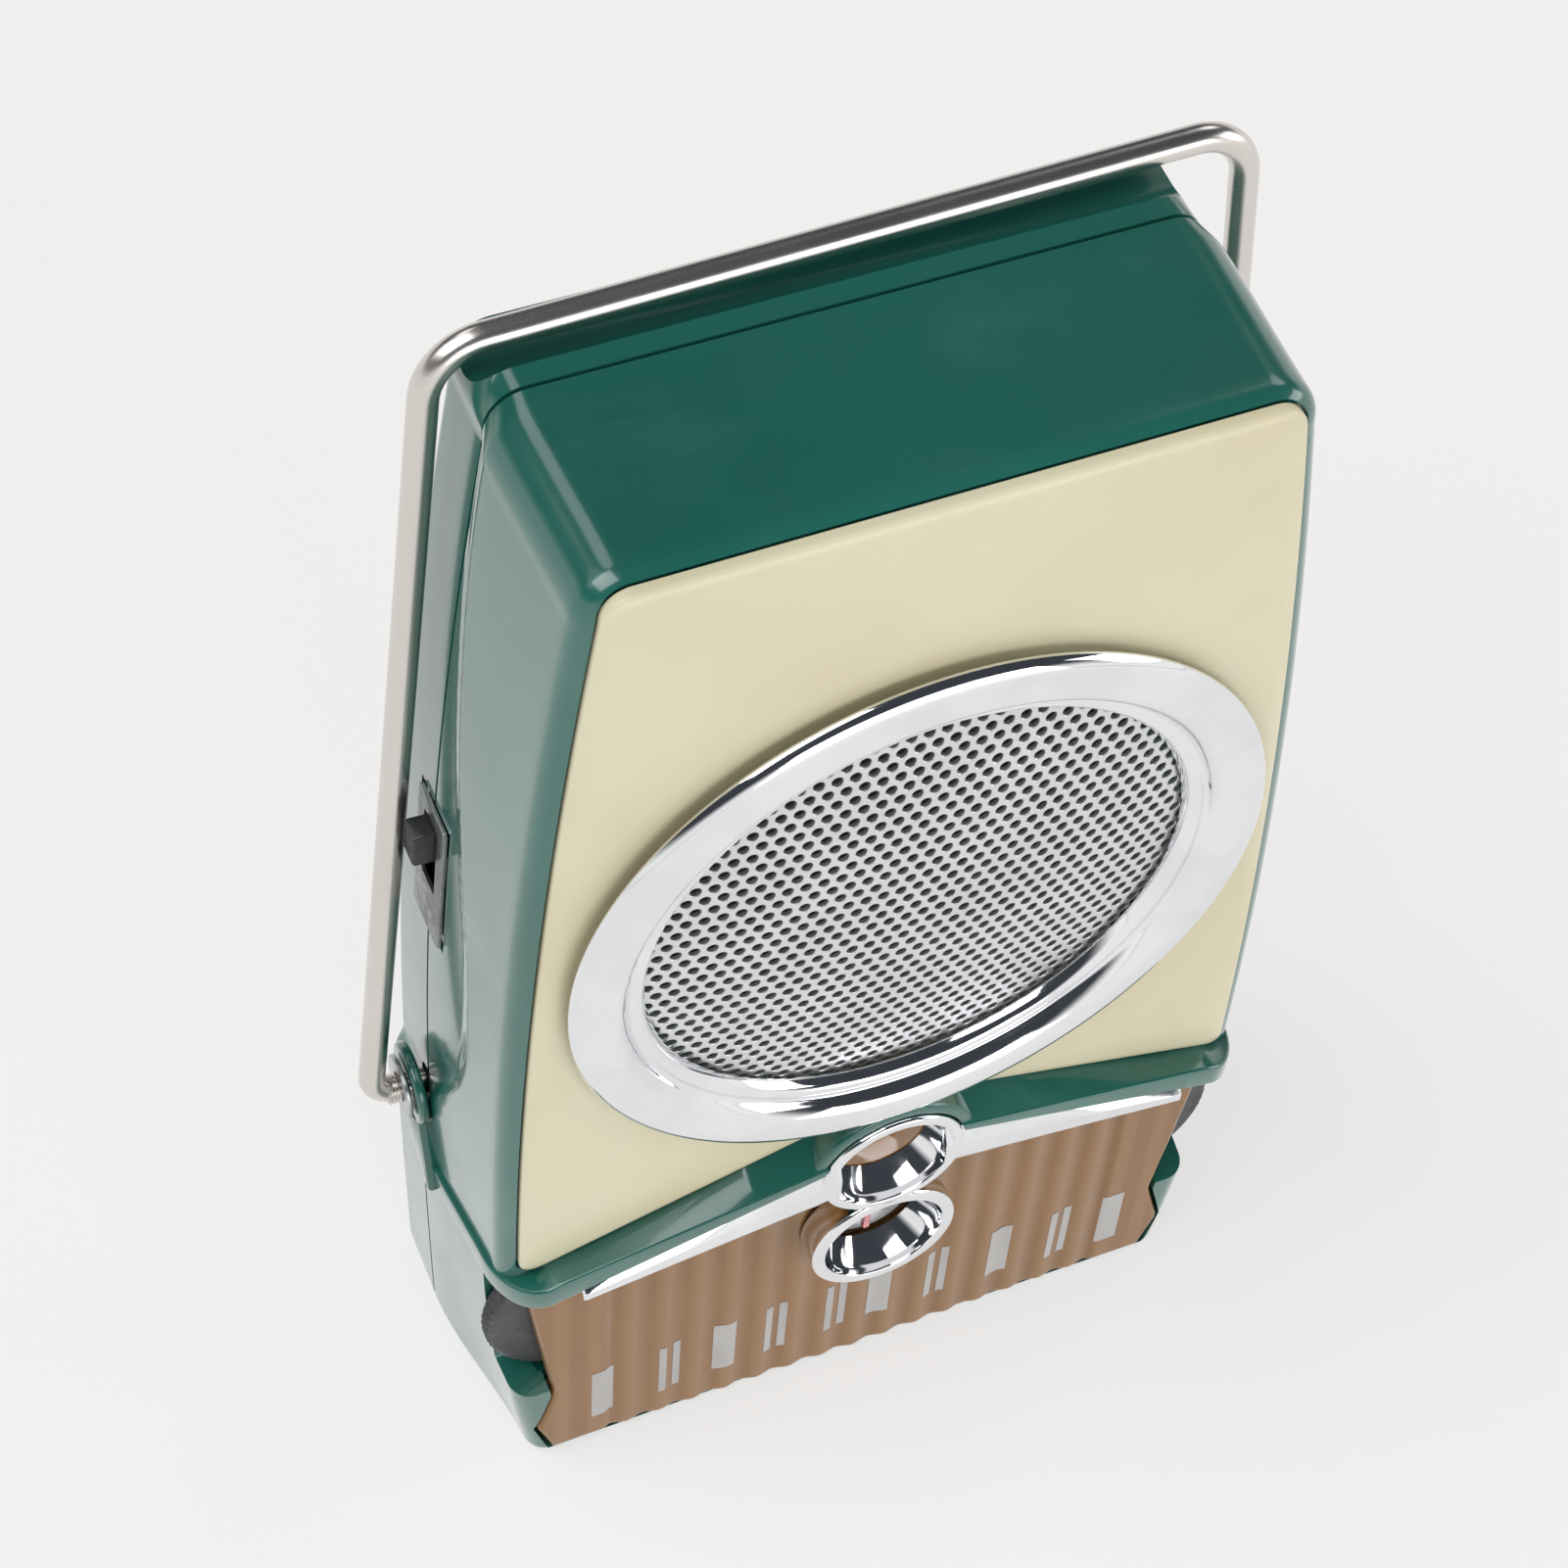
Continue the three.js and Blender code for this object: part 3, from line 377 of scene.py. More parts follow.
# ---------- the case ----------
RECESS_EDGE = [(22.5, 137), (21.8, 124), (19.7, 108), (17.6, 97), (15.3, 87), (13.5, 79), (12.8, 68),
               (13.6, 62), (15.1, 58.5), (18, 53), (21, 48), (23, 44.5), (26, 42.5)]
RECESS_LINE = np.array([(45.0, 150.0), (22.6, 150.0)] + [tuple(p) for p in smooth_curve(RECESS_EDGE, 8)]
                       + [(45.0, 41.5)])


def half_width(z, y):
    t = np.clip((y - FRONT_Y) / (PARTING_Y - FRONT_Y), 0, 1)
    t = t * t * (3 - 2 * t)
    curve = np.where(z > 38, 0.00079, 0.0022 * (1 - t) + 0.0002 * t)
    return 39.8 + 0.7 * t - curve * (z - 38) ** 2


def recess_depth(y, z):
    """How far the side is sunk at (y, z): 1 mm inside the recess, down an even slope."""
    a, b = RECESS_LINE, np.roll(RECESS_LINE, -1, 0)
    p = np.stack([y, z], 1)[:, None, :]
    d = b - a
    t = np.clip(np.sum((p - a) * d, 2) / np.sum(d * d, 1), 0, 1)
    gap = np.min(np.linalg.norm(p - (a + t[..., None] * d), axis=2), 1)
    crossing = (a[:, 1] > z[:, None]) != (b[:, 1] > z[:, None])
    at = a[:, 0] + (z[:, None] - a[:, 1]) * d[:, 0] / np.where(d[:, 1] == 0, 1e-9, d[:, 1])
    inside = np.sum(crossing & (y[:, None] < at), 1) % 2 == 1
    s = np.clip((np.where(inside, gap, -gap) + 2.4) / 3.0, 0, 1)
    return 0.6 * s + 0.4 * s * s * (3 - 2 * s)


def case_ring(inset, y, sunk=True, top=TOP_Z, sides=170):
    """The case's outline at one depth, as points in space."""
    corner, foot = max(4.7 - inset, 1.0), max(2.4 - inset, 0.6)
    low, high = inset, top - inset
    zs, xs = [], []
    for k in range(9):
        a = math.radians(-90 + 90 * k / 8)
        zs.append(low + foot + foot * math.sin(a))
        xs.append(float(half_width(low + foot, y)) - inset - foot + foot * math.cos(a))
    for k in range(1, sides):
        z = low + foot + (high - low - corner - foot) * k / sides
        zs.append(z)
        xs.append(float(half_width(z, y)) - inset)
    for k in range(13):
        a = math.radians(90 * k / 12)
        zs.append(high - corner + corner * math.sin(a))
        xs.append(float(half_width(high - corner, y)) - inset - corner + corner * math.cos(a))
    xs, zs = np.array(xs), np.array(zs)
    if sunk:
        fade = np.sqrt(np.clip((TOP_Z - inset - zs) / 4.7, 0, 1))
        xs = xs - recess_depth(np.full(len(zs), float(y)), zs) * fade
    right = list(zip(xs, [y] * len(xs), zs))
    return right + [(-x, y, z) for x, y, z in right[::-1]]


def case_half(name, edge, rows_y, wall_rows):
    bm = bmesh.new()
    radius = 2.3 if edge == "front" else 1.4
    rim = FRONT_Y if edge == "front" else BACK_Y
    sign = 1 if edge == "front" else -1
    rows = []
    for k in range(9):
        a = math.pi / 2 * k / 8
        rows.append(case_ring(radius * (1 - math.sin(a)), rim + sign * radius * (1 - math.cos(a))))
    rows += [case_ring(0, y) for y in rows_y]
    rows += [case_ring(0.25, rows_y[-1] + sign * 0.06)]
    rows += [case_ring(1.8, y, sunk=False, top=INNER_TOP_Z + 1.8) for y in wall_rows]
    add_loft(bm, rows)
    return finish_mesh(name, bm, GREEN, "case")


def lip_z(x):
    return 47.4 - 7.4 * np.abs(x) / 40.4


def panel_half(z):
    return 38.0 - 0.000712 * (z - 33.2) ** 2


def panel_outline(grow=0.0):
    low = PANEL_FOOT_Z - PANEL_FOOT_SLOPE * panel_half(42) - grow
    side = [(float(panel_half(z)) + grow, float(z), 0) for z in np.linspace(low + 3, PANEL_TOP_Z - 5, 60)]
    right = [(float(panel_half(low)) + grow, low, max(2.2 + grow, 0.3))] + side
    right += [(float(panel_half(PANEL_TOP_Z)) + grow, PANEL_TOP_Z + grow, 3.1 + grow)]
    points = [(0.0, PANEL_FOOT_Z - grow, 2.0)] + right + [(-x, z, r) for x, z, r in right[::-1]]
    return rounded_path(points, steps=10)


def lens_outline(grow=0.0):
    right = [(34.6 + grow, 1.4 - grow, 0.8), (36.3 + grow, 6.5, 0.6), (34.4 + grow, 13.3, 0.8),
             (37.5 + grow, float(lip_z(37.5)) - 2.0 + grow, 0.4)]
    left_side = [(-x, z, r) for x, z, r in right[::-1]]
    points = [(0, 0.7 - grow, 0)] + right + [(0, 47.4 - 2.0 + grow, 0)] + left_side
    return rounded_path(points, steps=4)


def wing_outline(side, grow=0.0):
    points = [(6.6, 41.4 - grow), (32.5 + grow, 38.0 - grow), (32.5 + grow, 40.1 + grow), (6.6, 46.8 + grow)]
    return [(side * x, z) for x, z in points]


SWITCH_X = -float(half_width(SWITCH_Z, PARTING_Y)) + 1.0


def switch_cut(bm):
    """The slot in the left side for the switch plate, leaning with the wall."""
    seat = [(SWITCH_X + 0.35 - 0.61, -9.0), (SWITCH_X + 0.35 + 0.61, 9.0), (SWITCH_X - 15, 9.0),
            (SWITCH_X - 15, -9.0)]
    add_prism(bm, [(x, SWITCH_Z + z) for x, z in seat], SWITCH_Y - 3.7, SWITCH_Y + 3.7)


def switch_well(bm):
    add_prism(bm, [(-60, 74.5), (-32, 74.5), (-32, 88.5), (-60, 88.5)], SWITCH_Y - 2.6, SWITCH_Y + 2.6)


front_rows = [4.2, 5.2, 6.4, 7.6, 8.8] + list(np.arange(9.6, 22.4, 0.5)) + [22.59]
case_front = case_half("case_front", "front", front_rows, [22.65, 14.0, 5.2])
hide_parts("front_shell")
cuts = [
    prism(panel_outline(0.25), -1, 1.9),
    round_bar(0, SPEAKER_Z, 29.1, 3.7, 6.2), round_bar(0, SPEAKER_Z, 25.5, 0, 7),
    prism(lens_outline(0.3), -1, 3.6), prism(lens_outline(-2.2), 0, 8),
    round_bar(0, UPPER_Z, 7.9, -5, 1.2), round_bar(0, UPPER_Z, 7.2, 0, 3.9), switch_cut, switch_well]
for side in (-1, 1):
    notch = rounded_path([(-5, 12.6, 0), (1, 14.6, 0), (5.4, 15.4, 0), (6.2, 15.8, 0.5), (6.2, 37.0, 0.5),
                          (-5, 37.4, 0)])
    cuts += [round_bar(side * WHEEL_X, WHEEL_Z, WHEEL_R + 0.6, 3.4, 6.2),
             prism(notch, *sorted((side * 33.4, side * 50)), "yz"),
             prism(circle(PIVOT_Y, PIVOT_Z, PIVOT_HOLE_R, 40), *sorted((side * 36, side * 50)), "yz")]
cut(case_front, cuts)

rear_rows = [30.45] + list(np.arange(30.0, 23.1, -0.55)) + [23.01]
case_rear = case_half("case_rear", "rear", rear_rows, [22.95, 26.0, 30.1])
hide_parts("rear_shell")


def groove(bm):
    add_prism(bm, circle(28.3, 141.1, 3.2, 72), -60, 60, "yz")


door_hole = rounded_path([(-27, 106.0, 1.2), (27, 106.0, 1.2), (27, 134.4, 1.2), (-27, 134.4, 1.2)])
cut(case_rear, [groove, prism(door_hole, 28, 40), switch_cut, switch_well,
                round_bar(SCREW_X, SCREW_Z, 2.9, 30.0, 40), round_bar(-SCREW_X, SCREW_Z, 2.9, 30.0, 40),
                prism(circle(PIVOT_Y, PIVOT_Z, PIVOT_HOLE_R, 40), 36, 50, "yz"),
                prism(circle(PIVOT_Y, PIVOT_Z, PIVOT_HOLE_R, 40), -50, -36, "yz")])


def rib():
    """The raised band: along one side, round the front corner, across in a V, and back."""
    bm = bmesh.new()
    stations = []
    for y in np.linspace(PARTING_Y - GAP, 5.0, 26):
        z = 40.0 - 7.3 * (y + 1.9) / 24.4
        stations.append((float(half_width(z, y)) + 0.5, y, z, 1.0, 0.0))
    x_side, y_side, r = stations[-1][0], 5.0, 4.4
    z_corner = stations[-1][2]
    for k in range(1, 13):
        a = math.pi / 2 * k / 12
        x = x_side - r * (1 - math.cos(a)) - 0.55 * (k / 12)
        y = y_side - (y_side + 2.5) * math.sin(a)
        z = z_corner + (float(lip_z(x_side - r)) - z_corner) * k / 12
        stations.append((x, y, z, math.cos(a), -math.sin(a)))
    for x in np.linspace(stations[-1][0], 0, 40)[1:]:
        stations.append((float(x), -2.5, float(lip_z(x)), 0.0, -1.0))
    mirror = [(-x, y, z, -nx, ny) for x, y, z, nx, ny in stations[:-1][::-1]]
    rows = []
    for x, y, z, nx, ny in stations + mirror:
        to_panel = PANEL_FOOT_Z - PANEL_FOOT_SLOPE * abs(x) - z
        climb = max(to_panel - 0.35 - 1.65, 0.02) * max(-ny, 0) ** 4
        section = rounded_path([(-4.2, -1.65, 0), (0, -1.65, 0.55), (0, 1.5, 0.35), (-0.3, 1.65, 0.2),
                                (-3.2, 1.65 + climb, 0), (-4.2, 1.65 + climb, 0)], steps=5)
        rows.append([(x + nx * n, y + ny * n, z + h) for n, h in section])
    add_loft(bm, rows)
    return finish_mesh("case_rib", bm, GREEN, "case")


case_rib = rib()
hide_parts("front_shell")
bm = bmesh.new()
collar = rounded_path([(7.8, 1.5, 0), (7.8, -2.2, 0.15), (8.9, -2.1, 0.5), (9.4, 1.5, 0)], steps=4)
add_loft(bm, [[(r * math.cos(a), y, UPPER_Z + r * math.sin(a)) for r, y in collar]
              for a in np.radians(np.linspace(14, 166, 60))])
rib_collar = finish_mesh("rib_collar", bm, GREEN, "case")
cut(case_rib, [prism(wing_outline(1, 0.2), -5, -1.2), prism(wing_outline(-1, 0.2), -5, -1.2),
               round_bar(0, UPPER_Z, 7.75, -5, 1.6), round_bar(0, UPPER_Z, 7.1, -5, 6)])


def ears():
    """The handle's ears: a round plate beside each side on a short web."""
    bm = bmesh.new()
    for side in (-1, 1):
        x0, x1 = 40.6, 41.7
        profile = rounded_path([(PIVOT_HOLE_R, x0, 0), (4.3, x0, 0.4), (4.3, x1, 0.45),
                                (PIVOT_HOLE_R, x1, 0.1)], steps=5)
        add_lathe(bm, [(r, side * t) for r, t in profile], (PIVOT_Y, PIVOT_Z), "x", 56)
        web = rounded_path([(17.6, 32.6, 0), (22.2, 32.0, 0.6), (25.4, 41, 1.0), (20, 43, 1.0)], steps=4)
        add_loft(bm, [[(side * x, y, z) for y, z in offset(web, d)]
                      for x, d in ((38.6, 0), (x0 + 0.05, 0), (x1 - 0.4, 0), (x1 - 0.12, 0.12), (x1, 0.4))])
    return finish_mesh("handle_ears", bm, GREEN, "case")


handle_ears = ears()
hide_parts("front_shell")

# ---------- front panel, ring and grille ----------
bm = bmesh.new()
rows = []
for k in range(13):
    a = math.pi / 2 * k / 12
    rows.append([(x, 0.85 * (1 - math.cos(a)), z) for x, z in panel_outline(-1.9 * (1 - math.sin(a)))])
rows.append([(x, 1.6, z) for x, z in panel_outline()])
add_loft(bm, rows)
panel = finish_mesh("cream_front", bm, CREAM, "case", 50)
cut(panel, [round_bar(0, SPEAKER_Z, 28.4, -3, 5)], sharp=50)
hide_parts("front_panel")

bm = bmesh.new()
RING = [(33.75, -1.3), (33.62, -1.7), (33.25, -2.1), (32.65, -2.45), (31.85, -2.7), (31.0, -2.84),
        (30.2, -2.88), (29.5, -2.72), (28.9, -2.3), (28.4, -1.75), (28.1, -1.25), (27.8, -1.12),
        (27.4, -1.22), (27.0, -1.2), (26.6, -0.95), (26.3, -0.5), (26.1, 0.0), (26.3, 0.1), (27.6, 0.1),
        (28.2, -0.3), (30.5, -0.7), (33.3, -1.05)]
add_lathe(bm, [tuple(p) for p in smooth_curve(RING, 3, closed=True)], (0, SPEAKER_Z), "y", 192)
ring = finish_mesh("speaker_ring", bm, CHROME, "case", 60)
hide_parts("speaker_trim_ring")


def grille():
    """A domed sheet of round holes in staggered rows."""
    bm = bmesh.new()
    pitch, row, hole, sheet, around = 1.656, 1.434, 0.54, 0.45, 18
    layers = [(None, 0.0), (hole + 0.07, 0.0), (hole, 0.07), (hole, sheet), (None, sheet)]
    corner = pitch / math.sqrt(3)
    for j in range(-20, 21):
        for i in range(-20, 21):
            cx, cz = (i + 0.5 * (j % 2)) * pitch, j * row
            if math.hypot(cx, cz) + corner > 28.2:
                continue
            rings = []
            for r, depth in layers:
                ring_points = []
                for k in range(around):
                    a = math.radians(30) + 2 * math.pi * k / around
                    reach = r
                    if r is None:
                        edge = (a - math.radians(30)) % math.radians(60) - math.radians(30)
                        reach = corner * math.cos(math.radians(30)) / math.cos(edge)
                    x, z = cx + reach * math.cos(a), cz + reach * math.sin(a)
                    y = -1.3 + 0.00262 * (x * x + z * z) + depth
                    ring_points.append(bm.verts.new((x, y, SPEAKER_Z + z)))
                rings.append(ring_points)
            for a, b in zip(rings, rings[1:]):
                for k in range(around):
                    m = (k + 1) % around
                    bm.faces.new((a[k], a[m], b[m], b[k]))
    return finish_mesh("speaker_mesh", bm, MESH, "case", 35)


speaker_mesh = grille()
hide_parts("speaker_grille")


# ---------- chrome trim ----------
def trim():
    bm = bmesh.new()
    for z, r, throat, deep in ((UPPER_Z, 7.6, 5.0, 1.0), (LOWER_Z, 7.9, 4.9, 1.2)):
        funnel = [(6.4 - (6.4 - throat) * t ** 1.3, -2.0 + (deep + 2.0) * t) for t in np.linspace(1, 0, 13)]
        rim = rounded_path([(6.42, -2.3, 0), (6.5, -2.65, 0.3), (r, -2.65, 0.45), (r, 0.7, 0.1),
                            (6.62, 0.7, 0)], closed=False, steps=6)
        profile = funnel + [tuple(p) for p in rim] + [(throat + 0.3, deep)]
        add_lathe(bm, profile, (0, z), "y", 144)
    for side in (-1, 1):
        rows = []
        stations = [5.6] + list(np.linspace(6.6, 32.2, 24)) + [32.42, 32.5]
        for k, x in enumerate(stations):
            t = (x - 6.6) / 25.9
            low, high = 41.4 + (38.0 - 41.4) * t, 46.8 + (40.1 - 46.8) * t
            end = {len(stations) - 1: 0.25, len(stations) - 2: 0.08}.get(k, 0)
            low, high = low + end, high - end
            tall = high - low
            section = rounded_path([(low, -1.4, 0), (low, -2.4, 0.2), (low + 0.15 * tall, -2.62 + end, 0.3),
                                    (high - 0.38 * tall, -2.62 + end, 0.3), (high, -1.75, 0.15),
                                    (high, -1.4, 0)], steps=4)
            rows.append([(side * x, y, z) for z, y in section])
        add_loft(bm, rows)
    return finish_mesh("wing_and_tubes", bm, CHROME, "case", 40)


chrome_trim = trim()
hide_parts("wing_trim")

bm = bmesh.new()
floor_disc = rounded_path([(0, 1.1, 0), (6.35, 1.1, 0.1), (6.35, 1.5, 0), (0, 1.5, 0)])
add_lathe(bm, floor_disc, (0, UPPER_Z), "y", 72)
tube_floor = finish_mesh("tube_floor", bm, AMBER, "case", 40)


# ---------- tuner window ----------
def lens_front(x):
    """The depth of the window's fluted front at x; the ends are plain."""
    wave = 0.17 * (1 - np.cos(2 * math.pi * x / FLUTE))
    return 1.0 + wave * np.clip((29.0 - np.abs(x)) / 0.9, 0, 1)


def window():
    """A fluted slab with rounded borders; its round holes over the two tubes are cut after it is made."""
    bm = bmesh.new()
    nx, nz, edge_r = 560, 64, 0.7
    u = np.linspace(-1, 1, nx + 1)
    u = np.sign(u) * (1 - (1 - np.abs(u)) ** 1.02)
    v = 0.5 - 0.5 * np.cos(np.linspace(0, math.pi, nz + 1))
    side_v = [0, (6.5 - 1.4) / 37, (13.3 - 1.4) / 37, 1]
    side_x = [34.6, 36.3, 34.4, 37.5]
    rows = []
    for vv in v:
        reach = float(np.interp(vv, side_v, side_x))
        x = u * reach
        low, high = 0.7 + 0.7 * np.abs(x) / 34.6, lip_z(x) - 2.0
        z = low + vv * (high - low)
        to_edge = np.minimum(np.minimum(reach - np.abs(x), vv * (high - low)), (1 - vv) * (high - low))
        lost = edge_r - np.sqrt(np.maximum(edge_r ** 2 - np.maximum(edge_r - to_edge, 0) ** 2, 0))
        y = lens_front(x) + lost
        rows.append([bm.verts.new((float(a), float(b), float(c))) for a, b, c in zip(x, y, z)])
    for a, b in zip(rows, rows[1:]):
        for i in range(nx):
            bm.faces.new((a[i], a[i + 1], b[i + 1], b[i]))
    rim = rows[0] + [r[-1] for r in rows[1:]] + rows[-1][-2::-1] + [r[0] for r in rows[-2:0:-1]]
    back = [bm.verts.new((w.co.x, 2.4, w.co.z)) for w in rim]
    for i in range(len(rim)):
        j = (i + 1) % len(rim)
        bm.faces.new((rim[i], rim[j], back[j], back[i]))
    bm.faces.new(back)
    return finish_mesh("fluted_window", bm, AMBER, "case", 35)


lens = window()
cut(lens, [round_bar(0, z, TUBE_HOLE_R, -5, 5) for z in (LOWER_Z, UPPER_Z)], sharp=35)
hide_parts("tuner_lens")

bm = bmesh.new()
add_plate(bm, offset(lens_outline(), 0.1), 2.7, 3.3, 0.15, 0.1, 3)
backing = finish_mesh("window_backing", bm, BACKING, "case")
cut(backing, [round_bar(0, z, TUBE_HOLE_R, -5, 9) for z in (LOWER_Z, UPPER_Z)])
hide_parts("dial_plate")

# Plain upright bars and pairs of bars, in place of the lettering: x, foot, top, then 1 for one wide bar
# or 0 for a pair.
MARKS = [(-29.0, 5.6, 15.0, 1), (-21.5, 6.0, 15.4, 0), (-15.3, 6.4, 15.8, 1), (-9.5, 6.6, 16.0, 0),
         (-2.6, 6.8, 16.2, 0), (2.4, 6.8, 16.2, 1), (9.1, 6.6, 16.0, 0), (16.5, 6.4, 15.8, 1),
         (23.6, 6.0, 15.4, 0), (29.8, 5.6, 15.0, 1)]
bm = bmesh.new()
for x, low, high, wide in MARKS:
    for shift, half in (((0, 1.25),) if wide else ((-0.8, 0.42), (0.8, 0.42))):
        section = ((-0.05, low), (-0.05, high), (0.3, high), (0.3, low))
        add_loft(bm, [[(a, float(lens_front(a)) + b, c) for b, c in section]
                      for a in np.linspace(x + shift - half, x + shift + half, 12)])
bars = finish_mesh("dial_marks", bm, SILVER, "case")

# ---------- dial ----------
def pulley(bm, bore, x, z):
    """A grooved wheel for the dial cord."""
    profile = [(bore, 6.8, 0), (5.2, 6.8, 0.1), (5.2, 7.2, 0.1), (4.0, 7.4, 0.1), (4.0, 8.4, 0.1),
               (5.2, 8.6, 0.1), (5.2, 9.0, 0.1), (bore, 9.0, 0)]
    add_lathe(bm, rounded_path(profile), (x, z), "y", 64)


bm = bmesh.new()
face = [(0, 1.7, 0), (4.5, 1.7, 0.15), (4.5, 3.9, 0), (9.0, 3.9, 0.15), (9.0, 4.5, 0), (1.5, 4.5, 0),
        (1.5, 14.4, 0.2), (0, 14.4, 0)]
add_lathe(bm, rounded_path(face), (0, LOWER_Z), "y", 96)
pulley(bm, 1.4, 0, LOWER_Z)
disc = finish_mesh("dial_face", bm, DIAL, "dial")
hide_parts("dial_disc")
bm = bmesh.new()
hand = rounded_path([(-0.4, LOWER_Z - 4.3, 0.2), (0.4, LOWER_Z - 4.3, 0.2), (0.28, LOWER_Z + 4.3, 0.1),
                     (-0.28, LOWER_Z + 4.3, 0.1)], steps=3)
add_plate(bm, hand, 1.35, 1.7, 0.12, 0.12, 3)
pointer = finish_mesh("red_pointer", bm, RED, "dial")
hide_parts("dial_pointer")


def thumbwheel(name, x, body, replaced):
    bm = bmesh.new()
    teeth, per = 64, 6
    rows = []
    for y, drop, knurl in ((3.7, 2.0, 0), (3.72, 1.2, 0), (3.9, 0.75, 0.25), (4.2, 0.35, 1), (4.8, 0.3, 1),
                           (5.4, 0.35, 1), (5.7, 0.75, 0.25), (5.88, 1.2, 0), (5.9, 2.0, 0)):
        ring_points = []
        for k in range(teeth * per):
            a = 2 * math.pi * k / (teeth * per)
            r = WHEEL_R - drop * 0.6 - knurl * 0.2 * (1 - math.cos(a * teeth))
            ring_points.append((x + r * math.cos(a), y, WHEEL_Z + r * math.sin(a)))
        rows.append(ring_points)
    add_loft(bm, rows)
    wheel_shaft = rounded_path([(0, 5.8, 0), (2.2, 5.8, 0), (2.2, 14.3, 0.3), (0, 14.3, 0)])
    add_lathe(bm, wheel_shaft, (x, WHEEL_Z), "y", 40)
    if body == "tuning_wheel":
        pulley(bm, 2.1, x, WHEEL_Z)
    piece = finish_mesh(name, bm, WHEEL, body, 40)
    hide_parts(replaced)


thumbwheel("volume_thumbwheel", -WHEEL_X, "volume_wheel", "volume_wheel")
thumbwheel("tuning_thumbwheel", WHEEL_X, "tuning_wheel", "tuning_wheel")


# ---------- handle ----------
def wire_handle():
    """The bent wire, with a ridged collar at each foot."""
    reach = math.hypot(HANDLE_TOP_Y - PIVOT_Y, HANDLE_TOP_Z - PIVOT_Z)
    inner, foot, top, shift = 38.0, 45.4, 36.8, 2.2
    flat = rounded_path([(-inner, 0, 0), (-foot, 0, 2.6), (shift - top, reach, 5.4),
                         (shift + top, reach, 5.4), (foot, 0, 2.6), (inner, 0, 0)], closed=False, steps=14)
    dense = [flat[0]]
    for a, b in zip(flat, flat[1:]):
        n = max(1, int(np.linalg.norm(b - a) / 1.5))
        dense += [a + (b - a) * k / n for k in range(1, n + 1)]
    up = np.array((0, (HANDLE_TOP_Y - PIVOT_Y) / reach, (HANDLE_TOP_Z - PIVOT_Z) / reach))
    points = [np.array((p[0], PIVOT_Y + 0.022 * p[0] * p[1] / reach, PIVOT_Z)) + up * p[1] for p in dense]
    normal = np.array((0, up[2], -up[1]))
    bm = bmesh.new()
    rows = []
    for i, p in enumerate(points):
        ahead = points[min(i + 1, len(points) - 1)] - points[max(i - 1, 0)]
        ahead = ahead / np.linalg.norm(ahead)
        across = np.cross(normal, ahead)
        across = across / np.linalg.norm(across)
        out = np.cross(ahead, across)
        out = out / np.linalg.norm(out)
        ends = 0.35 if i in (0, len(points) - 1) else 1.0
        rows.append([tuple(p + WIRE_R * ends * (across * math.cos(a) + out * math.sin(a)))
                     for a in np.linspace(0, 2 * math.pi, 28, endpoint=False)])
    add_loft(bm, rows)
    for side in (-1, 1):
        profile = [(1.25, 42.62), (1.56, 42.62)]
        for k in range(25):
            profile.append((1.50 + 0.09 * math.cos(2 * math.pi * k / 8), 42.7 + 0.045 * k))
        profile += [(1.38, 43.85), (1.25, 43.85)]
        add_lathe(bm, [(r, side * t) for r, t in profile], (PIVOT_Y, PIVOT_Z), "x", 36)
    return finish_mesh("wire_handle", bm, WIRE, "handle", 50)


handle = wire_handle()
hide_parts("handle")
for side, word in ((-1, "left"), (1, "right")):
    bm = bmesh.new()
    profile = rounded_path([(1.5, 42.0, 0.05), (3.3, 42.0, 0.15), (3.3, 42.5, 0.15), (1.5, 42.5, 0.1)],
                           steps=4)
    add_lathe(bm, [(r, side * t) for r, t in profile], (PIVOT_Y, PIVOT_Z), "x", 56)
    washer = finish_mesh(f"pivot_washer_{word}", bm, STEEL, "handle", 40)
    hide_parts(f"handle_washer_{word}")

# ---------- side switch ----------
LEAN = math.atan(0.068)


def leaning(bm):
    """Turns a solid drawn about the switch's own centre to lie on the wall."""
    turn = Matrix.Translation((SWITCH_X, SWITCH_Y, SWITCH_Z)) @ Matrix.Rotation(LEAN, 4, "Y")
    bmesh.ops.transform(bm, matrix=turn, verts=bm.verts)


def face_plate(bm, outline, x0, x1, edge):
    """A plate in the YZ plane, its outer face at x0, with a small rounding."""
    rows = []
    for k in range(5):
        a = math.pi / 2 * k / 4
        edge_row = offset(outline, edge * (1 - math.sin(a)))
        rows.append([(x0 + edge * (1 - math.cos(a)), y, z) for y, z in edge_row])
    rows.append([(x1, y, z) for y, z in outline])
    add_loft(bm, rows)


bm = bmesh.new()
plate_line = rounded_path([(-3.4, -8.7, 0.5), (3.4, -8.7, 0.5), (3.4, 8.7, 0.5), (-3.4, 8.7, 0.5)])
face_plate(bm, plate_line, -0.35, 0.0, 0.1)
leaning(bm)
plate = finish_mesh("slide_plate", bm, PLATE, "case")


def slide_slot(bm):
    slot = rounded_path([(-1.7, -2.3, 0.3), (1.7, -2.3, 0.3), (1.7, 6.7, 0.3), (-1.7, 6.7, 0.3)])
    add_loft(bm, [[(x, y, z) for y, z in slot] for x in (-3.0, 3.0)])
    leaning(bm)


